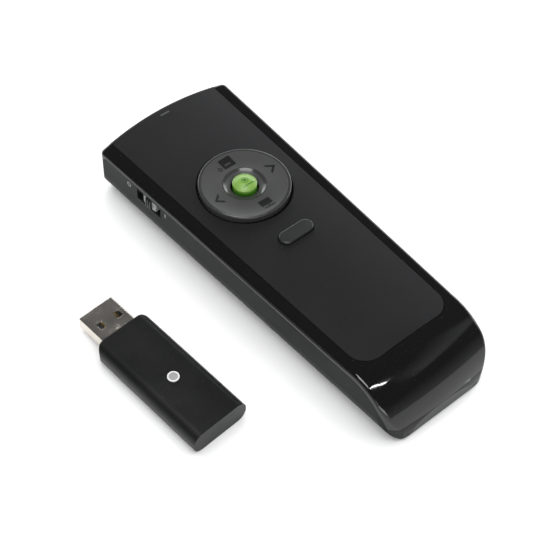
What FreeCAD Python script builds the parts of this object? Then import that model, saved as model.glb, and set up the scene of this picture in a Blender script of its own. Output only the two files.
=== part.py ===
import FreeCAD, Part
import math
import os
from FreeCAD import Vector

# Wireless presentation clicker: a handset with a laser pointer, and its USB radio receiver.
# Millimetres. The handset lies on its back, with the laser end towards +Y and +X to its right.
# The origin is in the middle of its underside. The receiver lies beside it on the same table.

os.makedirs("parts", exist_ok=True)

# Handset case
LENGTH = 128.8
FAR_WIDTH = 48.8
NEAR_WIDTH = 39.5
HEIGHT = 19.6
CROWN = 1.9
FAR_BOW = 2.0
FAR_CORNER_R = 1.8
NEAR_CORNER_R = 7.5
ROLL_R = 17.6
SIDE_UNDER_R = 8.8
END_UNDER_R = 1.2
RIDGE_R = 1.2
WALL = 1.8
FLOOR = 1.5
SEAM = 0.12
OVERRUN = 6.0

# How the case is split
BAND = 1.2
NOSE = 1.2
NOSE_R = 2.6
DOOR_SEAM_SHARE = 0.3

# Face panel
PANEL_FAR_MARGIN = 4.4
PANEL_NEAR_MARGIN = 3.4
PANEL_FROM_NEAR = 15.9
PANEL_CORNER_R = 6.5
PANEL_SEAT = 2.1
PANEL_GAP = 0.15

# Four-way disc, and the ring that it tips on
DISC_FROM_FAR = 42.0
DISC_R = 14.0
DISC_PROUD = 1.4
DISC_EDGE = 2.3
DISC_ROUND = 0.5
DISC_GAP = 0.45
DISC_BEVEL = 0.6
DISC_DIP = 0.5
DISH_R = 6.4
DISH_DEPTH = 1.1
HUB_BORE_R = 4.3
HUB_R = 5.6
HUB_DEPTH = 4.2
RING_IN_R = 5.9
RING_OUT_R = 7.6
RING_HEIGHT = 1.6
PIVOT_DEPTH = 3.4
PIN_R = 0.5
PIN_LONG = 1.1
PIN_ROOT = 0.3
PIN_FIT = 0.05
PIN_END_GAP = 0.1
WELL_R = 7.9
WELL_DEPTH = 4.6
WELL_BOSS_R = 9.6
WELL_PLATE = 0.9
FOOT_R = 0.9
FOOT_FROM_RIM = 2.6
FOOT_GAP = 0.4
FOOT_LIFT = 0.5

# Laser button and its plunger
LASER_R = 3.7
LASER_SIDE_PROUD = 1.2
LASER_DOME = 1.3
LASER_DEPTH = 1.8
LASER_SOCKET = 1.2
PLUNGER_R = 1.5
PLUNGER_FIT = 0.1
PLUNGER_FLANGE_R = 2.2
PLUNGER_FLANGE = 0.6
PRESS_TRAVEL = 0.6

# Function button
KEY_FROM_DISC = 23.4
KEY_LONG = 12.0
KEY_WIDE = 4.8
KEY_PROUD = 0.8
KEY_GAP = 0.25
KEY_EDGE_R = 0.5
KEY_FLANGE = 0.9
KEY_FLANGE_THICK = 0.7
KEY_FLANGE_GAP = 0.1
KEY_STEM_R = 1.4

# Main board and what is on it
BOARD_DEPTH = 9.4
BOARD_THICK = 1.0
BOARD_PAST_KEY = 3.4
BOARD_FROM_FAR = 17.5
BOARD_MARGIN = 0.6
POST_R = 1.6
POST_INSET = 3.6
TACT_SIDE = 4.5
TACT_BASE = 1.9
TACT_TALL = 2.6
TACT_TOP_R = 1.2
CHIP_SIDE = 6.0
CHIP_THICK = 0.9
CHIP_X = 10.5
CHIP_FROM_FAR = 25.5
CRYSTAL_LONG = 5.0
CRYSTAL_WIDE = 3.2
CRYSTAL_THICK = 1.1
CRYSTAL_X = 3.5
LED_LONG = 2.0
LED_WIDE = 1.25
LED_THICK = 0.8
LED_FROM_EDGE = 2.5

# Light pipe
PIPE_FROM_FAR = 3.0
PIPE_WIDE = 3.2
PIPE_THICK = 0.6
PIPE_BAR_DEPTH = 5.4
PIPE_BAR_TALL = 0.9
PIPE_FOOT = 2.4
PIPE_FOOT_GAP = 0.3
PIPE_FIT = 0.1
PIPE_RIB_HALF = 2.6
PIPE_RIB_THICK = 1.2
PIPE_RIB_AT_SHARES = (0.3, 0.75)

# Laser module
BARREL_GAP = 0.9
BARREL_LONG = 13.0
BARREL_WALL = 0.95
BORE_DEEP = 6.0
LIP_WIDE = 0.7
LIP_THICK = 1.0
LENS_THICK = 1.6
LENS_FIT = 0.05
DRIVER_THICK = 1.0
DRIVER_CORNER = 0.45
WINDOW_SILL = 1.2
WINDOW_THICK = 0.9
WINDOW_SINK = 0.2
WINDOW_LEDGE = 0.7
WINDOW_FIT = 0.05
CRADLE_WALL = 0.95
CRADLE_LONG = 3.0
CRADLE_FIT = 0.1
CRADLE_AT_SHARES = (0.2, 0.8)

# Power switch in the left wall, set along that wall
SWITCH_FROM_FAR = 25.5
SWITCH_DEPTH = 5.8
SWITCH_TRAVEL = 2.5
SLOT_LONG = 11.0
SLOT_TALL = 4.0
KNOB_PROUD = 0.5
KNOB_RIBS = 4
KNOB_RIB_PITCH = 0.9
KNOB_RIB_GROOVE = 0.4
KNOB_HEIGHT_GAP = 0.2
FLANGE_THICK = 0.6
FLANGE_TALL = 4.9
FLANGE_LAP = 0.4
FLANGE_GAP = 0.1
TANG_LONG = 2.0
TANG_DEEP = 1.6
TANG_TALL = 1.2
CAN_LONG = 9.2
CAN_DEEP = 3.8
CAN_TALL = 4.9
CAN_GAP = 0.3
CAN_WINDOW_DEEP = 2.4
CAN_WINDOW_GAP = 0.3

# Batteries and their contacts; two AAA cells, 10.5 across and 44.5 long, fill the bay
CELL_ROOF = 4.2
CELL_FROM_NEAR = 13.2
CELL_NUB_R = 1.9
CELL_NUB = 0.9
CELL_EDGE = 0.5
CELL_GAP = 0.5
CELL_LIFT = 0.3
CELL_SIDE_GAP = 0.65
PLATE_SIDE = 7.0
PLATE_THICK = 0.4
SPRING_R = 2.4
SPRING_WIRE_R = 0.35
SPRING_TURNS = 3
SPRING_LONG = 4.1
BAY_WALL = 1.3
BAY_WALL_DEPTH = 4.8
BAY_FROM_BOARD = 1.9
BAY_RIB = 1.2
BAY_RIB_LOW = 2.6
RAIL_DROP = 1.9
RAIL_TALL = 0.9
RAIL_DEEP = 0.6
RAIL_FIT = 0.15
RAIL_THICK = 1.1
RAIL_STOP = 5.7

# Battery door
GRIP_COUNT = 6
GRIP_PITCH = 2.2
GRIP_LONG = 14.0
GRIP_WIDE = 1.0
GRIP_DEEP = 0.4
GRIP_FROM_FRONT = 9.9

# Screws
SCREW_X = 15.4
SCREW_FROM_BAY = 1.7
SCREW_R = 1.0
SCREW_PILOT_FIT = 0.02
SCREW_HOLE_R = 1.2
SCREW_HEAD_R = 1.9
SCREW_HEAD = 1.2
SCREW_HEAD_GAP = 0.1
SCREW_LONG = 7.6
SCREW_SINK = 2.2
SCREW_TIP_GAP = 0.4
DRIVE_R = 0.7
DRIVE_DEEP = 0.6
BOSS_R = 2.6

# Receiver: case, plug, board and link button
RECEIVER_X = -54.9
RECEIVER_Y = 10.9
RECEIVER_TURN_DEG = 3.5
STICK_LONG = 42.0
STICK_WIDE = 19.0
STICK_TALL = 7.5
STICK_EDGE_R = 3.3
STICK_CORNER_R = 3.0
STICK_WALL = 1.1
PLUG_WIDE = 12.0
PLUG_TALL = 4.5
PLUG_OUT = 11.4
PLUG_IN = 5.5
PLUG_SHEET = 0.3
PLUG_CORNER_R = 0.6
PLUG_HOLE_WIDE = 2.0
PLUG_HOLE_LONG = 2.3
PLUG_HOLE_X = 3.0
PLUG_HOLE_FROM_TIP = 5.2
PLUG_FIT = 0.05
TONGUE_THICK = 1.85
TONGUE_FIT = 0.05
TONGUE_SET_BACK = 0.6
PAD_WIDE = 1.0
PAD_THICK = 0.12
PAD_OUTER_X = 3.5
PAD_INNER_X = 1.0
PAD_OUTER_LONG = 7.4
PAD_INNER_LONG = 6.4
PAD_SET_BACK = 1.2
STICK_BOARD_TOP = 3.7
STICK_BOARD_THICK = 0.8
STICK_BOARD_MARGIN = 0.5
STICK_BOARD_END = 3.0
STICK_RIB = 1.2
STICK_RIB_HALF = 6.0
STICK_RIB_AT_SHARES = (0.15, 0.85)
STICK_CHIP_SIDE = 4.0
STICK_CHIP_THICK = 0.8
STICK_CHIP_END = 11.0
STICK_CRYSTAL_LONG = 3.2
STICK_CRYSTAL_WIDE = 2.5
STICK_CRYSTAL_THICK = 0.7
STICK_CRYSTAL_X = 5.0
STICK_LED_FROM_LINK = 5.3
LINK_AT_SHARE = 0.543
LINK_R = 1.75
LINK_GAP = 0.15
LINK_PROUD = 0.25
LINK_EDGE_R = 0.2
LINK_FLANGE = 0.6
LINK_FLANGE_THICK = 0.5
LINK_FLANGE_GAP = 0.1
LINK_STEM_R = 1.0
LINK_TRAVEL_GAP = 0.4
LINK_SWITCH_SIDE = 3.5
LINK_SWITCH_TALL = 1.2

# Places that follow from the sizes above
FAR_END = LENGTH / 2
NEAR_END = -LENGTH / 2
RIDGE_Z = HEIGHT - CROWN
SPLIT_Z = RIDGE_Z - BAND
DOOR_SEAM = HEIGHT * DOOR_SEAM_SHARE
ROLL_Z = HEIGHT - ROLL_R
ROLL_Y = NEAR_END + math.sqrt(ROLL_R ** 2 - (DOOR_SEAM - ROLL_Z) ** 2)
CROWN_R = ((FAR_WIDTH / 2) ** 2 + CROWN ** 2) / (2 * CROWN)
TAPER = (FAR_WIDTH - NEAR_WIDTH) / 2 / LENGTH
FAR_CORNER_Y = FAR_END - FAR_BOW
NOSE_Y = FAR_CORNER_Y - NOSE
PANEL_Z = HEIGHT - PANEL_SEAT
PANEL_NEAR = NEAR_END + PANEL_FROM_NEAR
DISC_Y = FAR_END - DISC_FROM_FAR
FOOT_PLACE_R = DISC_R - FOOT_FROM_RIM
DISC_TOP = HEIGHT + DISC_PROUD
DISC_UNDER = DISC_TOP - DISC_EDGE
HUB_BOTTOM = HEIGHT - HUB_DEPTH
PIVOT_Z = HEIGHT - PIVOT_DEPTH
WELL_FLOOR = HEIGHT - WELL_DEPTH
WELL_BOSS_BOTTOM = WELL_FLOOR - WELL_PLATE
LASER_SIDE_TOP = HEIGHT + LASER_SIDE_PROUD
LASER_BOTTOM = HEIGHT - LASER_DEPTH
KEY_Y = DISC_Y - KEY_FROM_DISC
BOARD_TOP = HEIGHT - BOARD_DEPTH
BOARD_NEAR = KEY_Y - BOARD_PAST_KEY
BOARD_FAR = FAR_END - BOARD_FROM_FAR
CHIP_Y = FAR_END - CHIP_FROM_FAR
LED_Y = BOARD_FAR - LED_FROM_EDGE
SWITCH_Y = FAR_END - SWITCH_FROM_FAR
SWITCH_Z = HEIGHT - SWITCH_DEPTH
TACT_TOP = BOARD_TOP + TACT_TALL
BOARD_UNDER = BOARD_TOP - BOARD_THICK
PRESS_Z = TACT_TOP + PRESS_TRAVEL
PIPE_Y = FAR_END - PIPE_FROM_FAR
PIPE_BAR_LOW = HEIGHT - PIPE_BAR_DEPTH
PIPE_BAR_TOP = PIPE_BAR_LOW + PIPE_BAR_TALL
LASER_ROOM = (PIPE_BAR_LOW - DOOR_SEAM) / 2
BARREL_Z = DOOR_SEAM + LASER_ROOM
BARREL_R = LASER_ROOM - BARREL_GAP
BORE_R = BARREL_R - BARREL_WALL
WINDOW_R = LASER_ROOM - WINDOW_SILL
BARREL_BACK = BOARD_FAR + DRIVER_THICK
BARREL_TIP = BARREL_BACK + BARREL_LONG
WINDOW_Y = FAR_END - WINDOW_SINK - WINDOW_THICK
CELL_R = (SPLIT_Z - FLOOR - CELL_LIFT - CELL_ROOF) / 2
CELL_X = CELL_R + CELL_GAP / 2
CELL_Z = FLOOR + CELL_LIFT + CELL_R
BAY_FAR_Y = BOARD_NEAR - BAY_FROM_BOARD
BAY_WALL_TOP = HEIGHT - BAY_WALL_DEPTH
BAY_NEAR_TOP = HEIGHT / 2
BAY_RIB_X = CELL_X + CELL_R + CELL_SIDE_GAP
CELL_NEAR = NEAR_END + CELL_FROM_NEAR
CELL_FAR = BAY_FAR_Y - PLATE_THICK
BAY_NEAR_Y = CELL_NEAR - SPRING_LONG
DOOR_FRONT = BAY_FAR_Y
RAIL_LOW = DOOR_SEAM - RAIL_DROP
RAIL_NEAR = BAY_NEAR_Y + BAY_WALL
RAIL_FAR = BAY_FAR_Y - RAIL_STOP
SCREW_Y = BAY_FAR_Y - SCREW_FROM_BAY
BOSS_TOP = BOARD_TOP
SCREW_SEAT = BOSS_TOP - SCREW_SINK
SPLIT_STICK = STICK_TALL / 2
STICK_BOARD_NEAR = STICK_BOARD_END - STICK_LONG
STICK_CHIP_Y = STICK_CHIP_END - STICK_LONG
LINK_Y = -LINK_AT_SHARE * STICK_LONG
STICK_LED_Y = LINK_Y + STICK_LED_FROM_LINK


def half_width(y):
    """half the case's width at a place along it"""
    return NEAR_WIDTH / 2 + TAPER * (y - NEAR_END)


def line(a, b):
    return Part.makeLine(Vector(*a), Vector(*b))


def arc(a, middle, b):
    return Part.Arc(Vector(*a), Vector(*middle), Vector(*b)).toShape()


def pushed(edges, push):
    """solid made by pushing the face inside some edges"""
    return Part.Face(Part.Wire(edges)).extrude(Vector(*push))


def box(x0, x1, y0, y1, z0, z1):
    return Part.makeBox(x1 - x0, y1 - y0, z1 - z0, Vector(x0, y0, z0))


def pair_boxes(x0, x1, y0, y1, z0, z1):
    """a box on the right and its mirror image on the left"""
    return [box(x0, x1, y0, y1, z0, z1), box(-x1, -x0, y0, y1, z0, z1)]


def post(r, x, y, z0, z1):
    return Part.makeCylinder(r, z1 - z0, Vector(x, y, z0), Vector(0, 0, 1))


def rod(r, start, push):
    """round bar from a start along a push"""
    way = Vector(*push)
    return Part.makeCylinder(r, way.Length, Vector(*start), way)


def upright_edges(solid, where):
    """edges along Z whose middle passes a test"""
    found = []
    for edge in solid.Edges:
        limits = edge.BoundBox
        if len(edge.Vertexes) == 2 and limits.ZLength > limits.XLength + limits.YLength:
            if where(edge.CenterOfMass):
                found.append(edge)
    return found


def flat_edges(solid, z):
    """edges that lie at one height"""
    return [e for e in solid.Edges if abs(e.BoundBox.ZMin - z) < SEAM and abs(e.BoundBox.ZMax - z) < SEAM]


def dome_middle(r, rise):
    """point half way down a dome's arc: its distance from the axis, and its drop from the top"""
    ball = (r ** 2 + rise ** 2) / (2 * rise)
    half = math.asin(r / ball) / 2
    return ball * math.sin(half), ball * (1 - math.cos(half))


def biggest(shape):
    return max(shape.Solids, key=lambda solid: solid.Volume)


def save(name, shape):
    shape.exportStep("parts/" + name + ".step")
    print(name, len(shape.Solids), shape.isValid(), round(shape.Volume, 1))


def plan_prism(inset, z0, z1):
    """the case's outline seen from above, pushed up"""
    corner_y = FAR_CORNER_Y - inset
    far_x = half_width(corner_y) - inset
    near_y = NEAR_END + inset
    near_x = half_width(near_y) - inset
    edges = [arc((-far_x, corner_y, z0), (0, FAR_END - inset, z0), (far_x, corner_y, z0)),
             line((far_x, corner_y, z0), (near_x, near_y, z0)),
             line((near_x, near_y, z0), (-near_x, near_y, z0)),
             line((-near_x, near_y, z0), (-far_x, corner_y, z0))]
    solid = pushed(edges, (0, 0, z1 - z0))
    if inset < FAR_CORNER_R:
        solid = solid.makeFillet(FAR_CORNER_R - inset, upright_edges(solid, lambda p: p.y > 0))
    if inset < NEAR_CORNER_R:
        near_edges = upright_edges(solid, lambda p: p.y < NEAR_END + NEAR_CORNER_R)
        solid = solid.makeFillet(NEAR_CORNER_R - inset, near_edges)
    return solid


def face_cutters():
    """what lies above the crowned face, and outside the rolled near end"""
    side = FAR_WIDTH / 2 + OVERRUN
    edge_z = HEIGHT - CROWN_R + math.sqrt(CROWN_R ** 2 - side ** 2)
    top = HEIGHT + OVERRUN
    edges = [arc((-side, ROLL_Y, edge_z), (0, ROLL_Y, HEIGHT), (side, ROLL_Y, edge_z)),
             line((side, ROLL_Y, edge_z), (side, ROLL_Y, top)),
             line((side, ROLL_Y, top), (-side, ROLL_Y, top)),
             line((-side, ROLL_Y, top), (-side, ROLL_Y, edge_z))]
    profile = Part.Face(Part.Wire(edges))
    straight = profile.extrude(Vector(0, LENGTH, 0))
    rolled = profile.revolve(Vector(0, ROLL_Y, ROLL_Z), Vector(1, 0, 0), 90)
    return straight, rolled


def side_rounders(inset, floor):
    """what lies outside the rounded underside along both sides"""
    r = SIDE_UNDER_R - inset
    start_y = NEAR_END - OVERRUN
    x = half_width(start_y) - inset
    bend = r * math.sqrt(0.5)
    edges = [arc((x - r, start_y, floor), (x - r + bend, start_y, floor + r - bend), (x, start_y, floor + r)),
             line((x, start_y, floor + r), (x + OVERRUN, start_y, floor + r)),
             line((x + OVERRUN, start_y, floor + r), (x + OVERRUN, start_y, floor - OVERRUN)),
             line((x + OVERRUN, start_y, floor - OVERRUN), (x - r, start_y, floor - OVERRUN)),
             line((x - r, start_y, floor - OVERRUN), (x - r, start_y, floor))]
    long = LENGTH + 2 * OVERRUN
    right = pushed(edges, (TAPER * long, long, 0))
    return [right, right.mirror(Vector(0, 0, 0), Vector(1, 0, 0))]


def rounded_prism(inset, floor, top):
    """the case's outline pushed up from a floor, with its underside rounded"""
    solid = plan_prism(inset, floor, top)
    if inset < END_UNDER_R:
        solid = solid.makeFillet(END_UNDER_R - inset, flat_edges(solid, floor))
    return solid.cut(side_rounders(inset, floor))


def case_form():
    """the handset's outer form, before it is split and hollowed"""
    solid = rounded_prism(0, 0, HEIGHT + SEAM)
    straight, rolled = face_cutters()
    solid = biggest(solid.cut(straight).cut(rolled))
    ridge = []
    for edge in solid.Edges:
        limits = edge.BoundBox
        level = limits.ZLength < limits.XLength + limits.YLength
        on_side = limits.XMax < -NEAR_CORNER_R or limits.XMin > NEAR_CORNER_R
        far_edge = limits.YMin > FAR_CORNER_Y - NEAR_CORNER_R
        if level and limits.ZMax > SIDE_UNDER_R + RIDGE_R and (on_side or far_edge):
            ridge.append(edge)
    return solid.makeFillet(RIDGE_R, ridge)


def case_cavity():
    """the room inside the case, up to the hood's flat ceiling"""
    return rounded_prism(WALL, FLOOR, SPLIT_Z)


def side_prism(drop, far_y):
    """what lies under the face by some depth, from the door's seam up, through the whole width"""
    top = RIDGE_Z - drop
    r = ROLL_R - CROWN - drop
    low_y = ROLL_Y - math.sqrt(r ** 2 - (DOOR_SEAM - ROLL_Z) ** 2)
    turn = (math.asin((DOOR_SEAM - ROLL_Z) / r) + math.pi / 2) / 2
    bend = NOSE_R * (1 - math.sqrt(0.5))
    x = -FAR_WIDTH
    edges = [arc((x, low_y, DOOR_SEAM), (x, ROLL_Y - r * math.cos(turn), ROLL_Z + r * math.sin(turn)),
                 (x, ROLL_Y, top)),
             line((x, ROLL_Y, top), (x, far_y - NOSE_R, top)),
             arc((x, far_y - NOSE_R, top), (x, far_y - bend, top - bend), (x, far_y, top - NOSE_R)),
             line((x, far_y, top - NOSE_R), (x, far_y, DOOR_SEAM)),
             line((x, far_y, DOOR_SEAM), (x, low_y, DOOR_SEAM))]
    return pushed(edges, (2 * FAR_WIDTH, 0, 0))


def panel_prism(gap):
    """the face panel's outline, open past the far end"""
    near_y = PANEL_NEAR + gap
    far_y = FAR_END + OVERRUN
    near_x = half_width(near_y) - PANEL_NEAR_MARGIN - gap
    far_x = half_width(far_y) - PANEL_FAR_MARGIN - gap
    edges = [line((-near_x, near_y, PANEL_Z), (near_x, near_y, PANEL_Z)),
             line((near_x, near_y, PANEL_Z), (far_x, far_y, PANEL_Z)),
             line((far_x, far_y, PANEL_Z), (-far_x, far_y, PANEL_Z)),
             line((-far_x, far_y, PANEL_Z), (-near_x, near_y, PANEL_Z))]
    solid = pushed(edges, (0, 0, PANEL_SEAT + OVERRUN))
    return solid.makeFillet(PANEL_CORNER_R - gap, upright_edges(solid, lambda p: p.y < 0))


def obround(long, wide, y, z0, z1):
    """prism with round ends, long along X"""
    r = wide / 2
    a = long / 2 - r
    edges = [line((-a, y - r, z0), (a, y - r, z0)), arc((a, y - r, z0), (a + r, y, z0), (a, y + r, z0)),
             line((a, y + r, z0), (-a, y + r, z0)), arc((-a, y + r, z0), (-a - r, y, z0), (-a, y - r, z0))]
    return pushed(edges, (0, 0, z1 - z0))


def foot_places():
    """where the disc's four feet stand, seen from above"""
    return [(FOOT_PLACE_R, DISC_Y), (0, DISC_Y + FOOT_PLACE_R),
            (-FOOT_PLACE_R, DISC_Y), (0, DISC_Y - FOOT_PLACE_R)]


def post_places():
    """where the main board is held, seen from above"""
    places = []
    for y in (BOARD_NEAR + POST_INSET, BOARD_FAR - POST_INSET):
        x = half_width(y) - WALL - BOARD_MARGIN - POST_INSET
        places += [(x, y), (-x, y)]
    return places


def along_left_wall(shape):
    """turn a piece made beside the origin so that it lies along the left wall, at the switch"""
    shape.rotate(Vector(0, 0, 0), Vector(0, 0, 1), math.degrees(math.atan(TAPER)))
    shape.translate(Vector(-half_width(SWITCH_Y), SWITCH_Y, SWITCH_Z))
    return shape


# Case

def top_cover(form, cavity):
    below = box(-FAR_WIDTH, FAR_WIDTH, -LENGTH, LENGTH, -OVERRUN, DOOR_SEAM)
    solid = form.cut([below, side_prism(BAND, NOSE_Y)])
    solid = solid.cut(cavity.common(box(-FAR_WIDTH, FAR_WIDTH, 0, LENGTH, 0, SPLIT_Z)))
    solid = solid.cut(panel_prism(0))
    added = [post(WELL_BOSS_R, 0, DISC_Y, WELL_BOSS_BOTTOM, PANEL_Z)]
    for side in (-1, 1):
        added.append(post(BOSS_R, side * SCREW_X, SCREW_Y, BOSS_TOP, SPLIT_Z))
    for x, y in post_places()[:2]:
        added.append(post(POST_R, x, y, BOARD_TOP, SPLIT_Z))
    for share in PIPE_RIB_AT_SHARES:
        y = LED_Y + share * (PIPE_Y - LED_Y)
        added.append(box(-PIPE_RIB_HALF, PIPE_RIB_HALF, y, y + PIPE_RIB_THICK, PIPE_BAR_TOP, SPLIT_Z))
    solid = solid.fuse(added)
    slot_x = PIPE_WIDE / 2 + PIPE_FIT
    slot_y = PIPE_THICK / 2 + PIPE_FIT
    removed = [post(WELL_R, 0, DISC_Y, WELL_FLOOR, HEIGHT),
               post(PLUNGER_R + PLUNGER_FIT, 0, DISC_Y, 0, HEIGHT),
               obround(KEY_LONG + 2 * KEY_GAP, KEY_WIDE + 2 * KEY_GAP, KEY_Y, WELL_FLOOR, HEIGHT),
               rod(WINDOW_R - WINDOW_LEDGE, (0, NOSE_Y, BARREL_Z), (0, OVERRUN, 0)),
               rod(WINDOW_R + WINDOW_FIT, (0, WINDOW_Y, BARREL_Z), (0, OVERRUN, 0)),
               box(-slot_x, slot_x, PIPE_Y - slot_y, PIPE_Y + slot_y, PIPE_BAR_LOW, HEIGHT)]
    for x, y in foot_places():
        removed.append(post(FOOT_R + FOOT_GAP, x, y, WELL_BOSS_BOTTOM, HEIGHT))
    reach = WELL_R + PIN_LONG
    for side in (-1, 1):
        removed.append(rod(PIN_R + PIN_FIT, (0, DISC_Y, PIVOT_Z), (side * reach, 0, 0)))
        pilot_top = SCREW_SEAT + SCREW_LONG + SCREW_TIP_GAP
        removed.append(post(SCREW_R + SCREW_PILOT_FIT, side * SCREW_X, SCREW_Y, BOSS_TOP, pilot_top))
    return solid.cut(removed)


def face_panel(form):
    solid = form.common(panel_prism(PANEL_GAP))
    slot_x = PIPE_WIDE / 2 + PIPE_FIT
    slot_y = PIPE_THICK / 2 + PIPE_FIT
    hole_r = DISC_R + DISC_GAP
    bevel = Part.makeCone(hole_r, hole_r + 2 * DISC_BEVEL, 2 * DISC_BEVEL,
                          Vector(0, DISC_Y, HEIGHT - DISC_BEVEL), Vector(0, 0, 1))
    removed = [post(hole_r, 0, DISC_Y, PANEL_Z, HEIGHT), bevel,
               obround(KEY_LONG + 2 * KEY_GAP, KEY_WIDE + 2 * KEY_GAP, KEY_Y, PANEL_Z, HEIGHT),
               box(-slot_x, slot_x, PIPE_Y - slot_y, PIPE_Y + slot_y, PANEL_Z, HEIGHT)]
    return solid.cut(removed)


def shell_outside(form):
    """the lower half's outer form: the inset sides, and the floor up to the door"""
    low = box(-FAR_WIDTH, FAR_WIDTH, DOOR_FRONT, LENGTH, -OVERRUN, DOOR_SEAM)
    return form.common(side_prism(BAND + SEAM, NOSE_Y - SEAM).fuse(low))


def bay_frame():
    """walls and ribs that hold the cells, with the rails for the door"""
    low = DOOR_SEAM + SEAM
    rib_out = BAY_RIB_X + BAY_RIB
    wall_far = BAY_FAR_Y + BAY_WALL
    pieces = [box(-FAR_WIDTH, FAR_WIDTH, BAY_FAR_Y, wall_far, 0, BOSS_TOP - SEAM),
              box(-rib_out, rib_out, BAY_FAR_Y, wall_far, 0, BAY_WALL_TOP),
              box(-FAR_WIDTH, FAR_WIDTH, BAY_NEAR_Y - BAY_WALL, BAY_NEAR_Y, low, BAY_NEAR_TOP)]
    pieces += pair_boxes(BAY_RIB_X, rib_out, BAY_NEAR_Y, BAY_FAR_Y, BAY_RIB_LOW, BAY_NEAR_TOP)
    pieces += pair_boxes(rib_out, rib_out + RAIL_DEEP, RAIL_NEAR, RAIL_FAR, RAIL_LOW, RAIL_LOW + RAIL_TALL)
    return pieces


def cradles():
    """the two saddles under the laser's barrel"""
    pieces = []
    for share in CRADLE_AT_SHARES:
        y = BARREL_BACK + share * BARREL_LONG - CRADLE_LONG / 2
        half = BARREL_R + CRADLE_WALL
        block = box(-half, half, y, y + CRADLE_LONG, 0, BARREL_Z)
        pieces.append(block.cut(rod(BARREL_R + CRADLE_FIT, (0, y, BARREL_Z), (0, CRADLE_LONG, 0))))
    return pieces


def bottom_shell(form, cavity):
    solid = shell_outside(form).cut(cavity)
    inside = bay_frame() + cradles()
    for x, y in post_places():
        inside.append(post(POST_R, x, y, 0, BOARD_UNDER))
    for side in (-1, 1):
        inside.append(post(BOSS_R, side * SCREW_X, SCREW_Y, SCREW_SEAT - SCREW_HEAD, BOSS_TOP))
    room = rounded_prism(WALL / 2, FLOOR / 2, SPLIT_Z)
    below_door = box(-FAR_WIDTH, FAR_WIDTH, -LENGTH, DOOR_FRONT, -OVERRUN, BAY_RIB_LOW)
    solid = solid.fuse([piece.common(room).cut(below_door) for piece in inside])
    slot = along_left_wall(box(-OVERRUN, WALL + FLANGE_GAP, -SLOT_LONG / 2, SLOT_LONG / 2,
                               -SLOT_TALL / 2, SLOT_TALL / 2))
    removed = [slot]
    for side in (-1, 1):
        x = side * SCREW_X
        removed.append(post(SCREW_HOLE_R, x, SCREW_Y, 0, BOSS_TOP))
        removed.append(post(SCREW_HEAD_R + SCREW_HEAD_GAP, x, SCREW_Y, 0, SCREW_SEAT))
    return solid.cut(removed)


def battery_door(form, cavity):
    front = DOOR_FRONT - SEAM
    solid = form.common(box(-FAR_WIDTH, FAR_WIDTH, -LENGTH, front, -OVERRUN, DOOR_SEAM - SEAM))
    solid = solid.cut(cavity)
    rail_in = BAY_RIB_X + BAY_RIB + RAIL_DEEP + RAIL_FIT
    lip_low = RAIL_LOW + RAIL_TALL + RAIL_FIT
    lip_top = lip_low + RAIL_DEEP
    rails = pair_boxes(rail_in, rail_in + RAIL_THICK, RAIL_NEAR, RAIL_FAR, FLOOR / 2, lip_top)
    rails += pair_boxes(rail_in - RAIL_DEEP, rail_in, RAIL_NEAR, RAIL_FAR, lip_low, lip_top)
    grips = []
    for index in range(GRIP_COUNT):
        y = DOOR_FRONT - GRIP_FROM_FRONT - index * GRIP_PITCH
        grips.append(box(-GRIP_LONG / 2, GRIP_LONG / 2, y, y + GRIP_WIDE, -OVERRUN, GRIP_DEEP))
    return solid.fuse(rails).cut(grips)


# Disc, buttons and power switch

def nav_disc():
    """dished disc with a hub; a profile turned about the upright axis, then its pins and feet"""
    rim = DISC_R - DISC_ROUND
    middle = (DISC_R + DISH_R) / 2
    dish_z = DISC_TOP - DISC_DIP
    edges = [line((HUB_BORE_R, 0, HUB_BOTTOM), (HUB_R, 0, HUB_BOTTOM)),
             line((HUB_R, 0, HUB_BOTTOM), (HUB_R, 0, DISC_UNDER)),
             line((HUB_R, 0, DISC_UNDER), (DISC_R, 0, DISC_UNDER)),
             line((DISC_R, 0, DISC_UNDER), (DISC_R, 0, DISC_TOP - DISC_ROUND)),
             arc((DISC_R, 0, DISC_TOP - DISC_ROUND),
                 (rim + DISC_ROUND * math.sqrt(0.5), 0, DISC_TOP - DISC_ROUND * (1 - math.sqrt(0.5))),
                 (rim, 0, DISC_TOP)),
             arc((rim, 0, DISC_TOP), (middle, 0, dish_z), (DISH_R, 0, dish_z)),
             line((DISH_R, 0, dish_z), (HUB_BORE_R, 0, dish_z - DISH_DEPTH)),
             line((HUB_BORE_R, 0, dish_z - DISH_DEPTH), (HUB_BORE_R, 0, HUB_BOTTOM))]
    solid = Part.Face(Part.Wire(edges)).revolve(Vector(0, 0, 0), Vector(0, 0, 1), 360)
    solid.translate(Vector(0, DISC_Y, 0))
    added = []
    for x, y in foot_places():
        added.append(post(FOOT_R, x, y, TACT_TOP + FOOT_LIFT, DISC_UNDER + DISC_ROUND))
    for side in (-1, 1):
        start = (0, DISC_Y + side * (HUB_R - PIN_ROOT), PIVOT_Z)
        added.append(rod(PIN_R, start, (0, side * (PIN_ROOT + PIN_LONG), 0)))
    return solid.fuse(added)


def disc_rocker_ring():
    low = PIVOT_Z - RING_HEIGHT / 2
    solid = post(RING_OUT_R, 0, DISC_Y, low, low + RING_HEIGHT)
    solid = solid.cut(post(RING_IN_R, 0, DISC_Y, low, low + RING_HEIGHT))
    bore_reach = HUB_R + PIN_LONG + PIN_END_GAP
    pin_reach = WELL_R + PIN_LONG - PIN_END_GAP - RING_OUT_R
    for side in (-1, 1):
        solid = solid.cut(rod(PIN_R + PIN_FIT, (0, DISC_Y, PIVOT_Z), (0, side * bore_reach, 0)))
        start = (side * (RING_OUT_R - PIN_ROOT), DISC_Y, PIVOT_Z)
        solid = solid.fuse(rod(PIN_R, start, (side * (PIN_ROOT + pin_reach), 0, 0)))
    return solid


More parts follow.
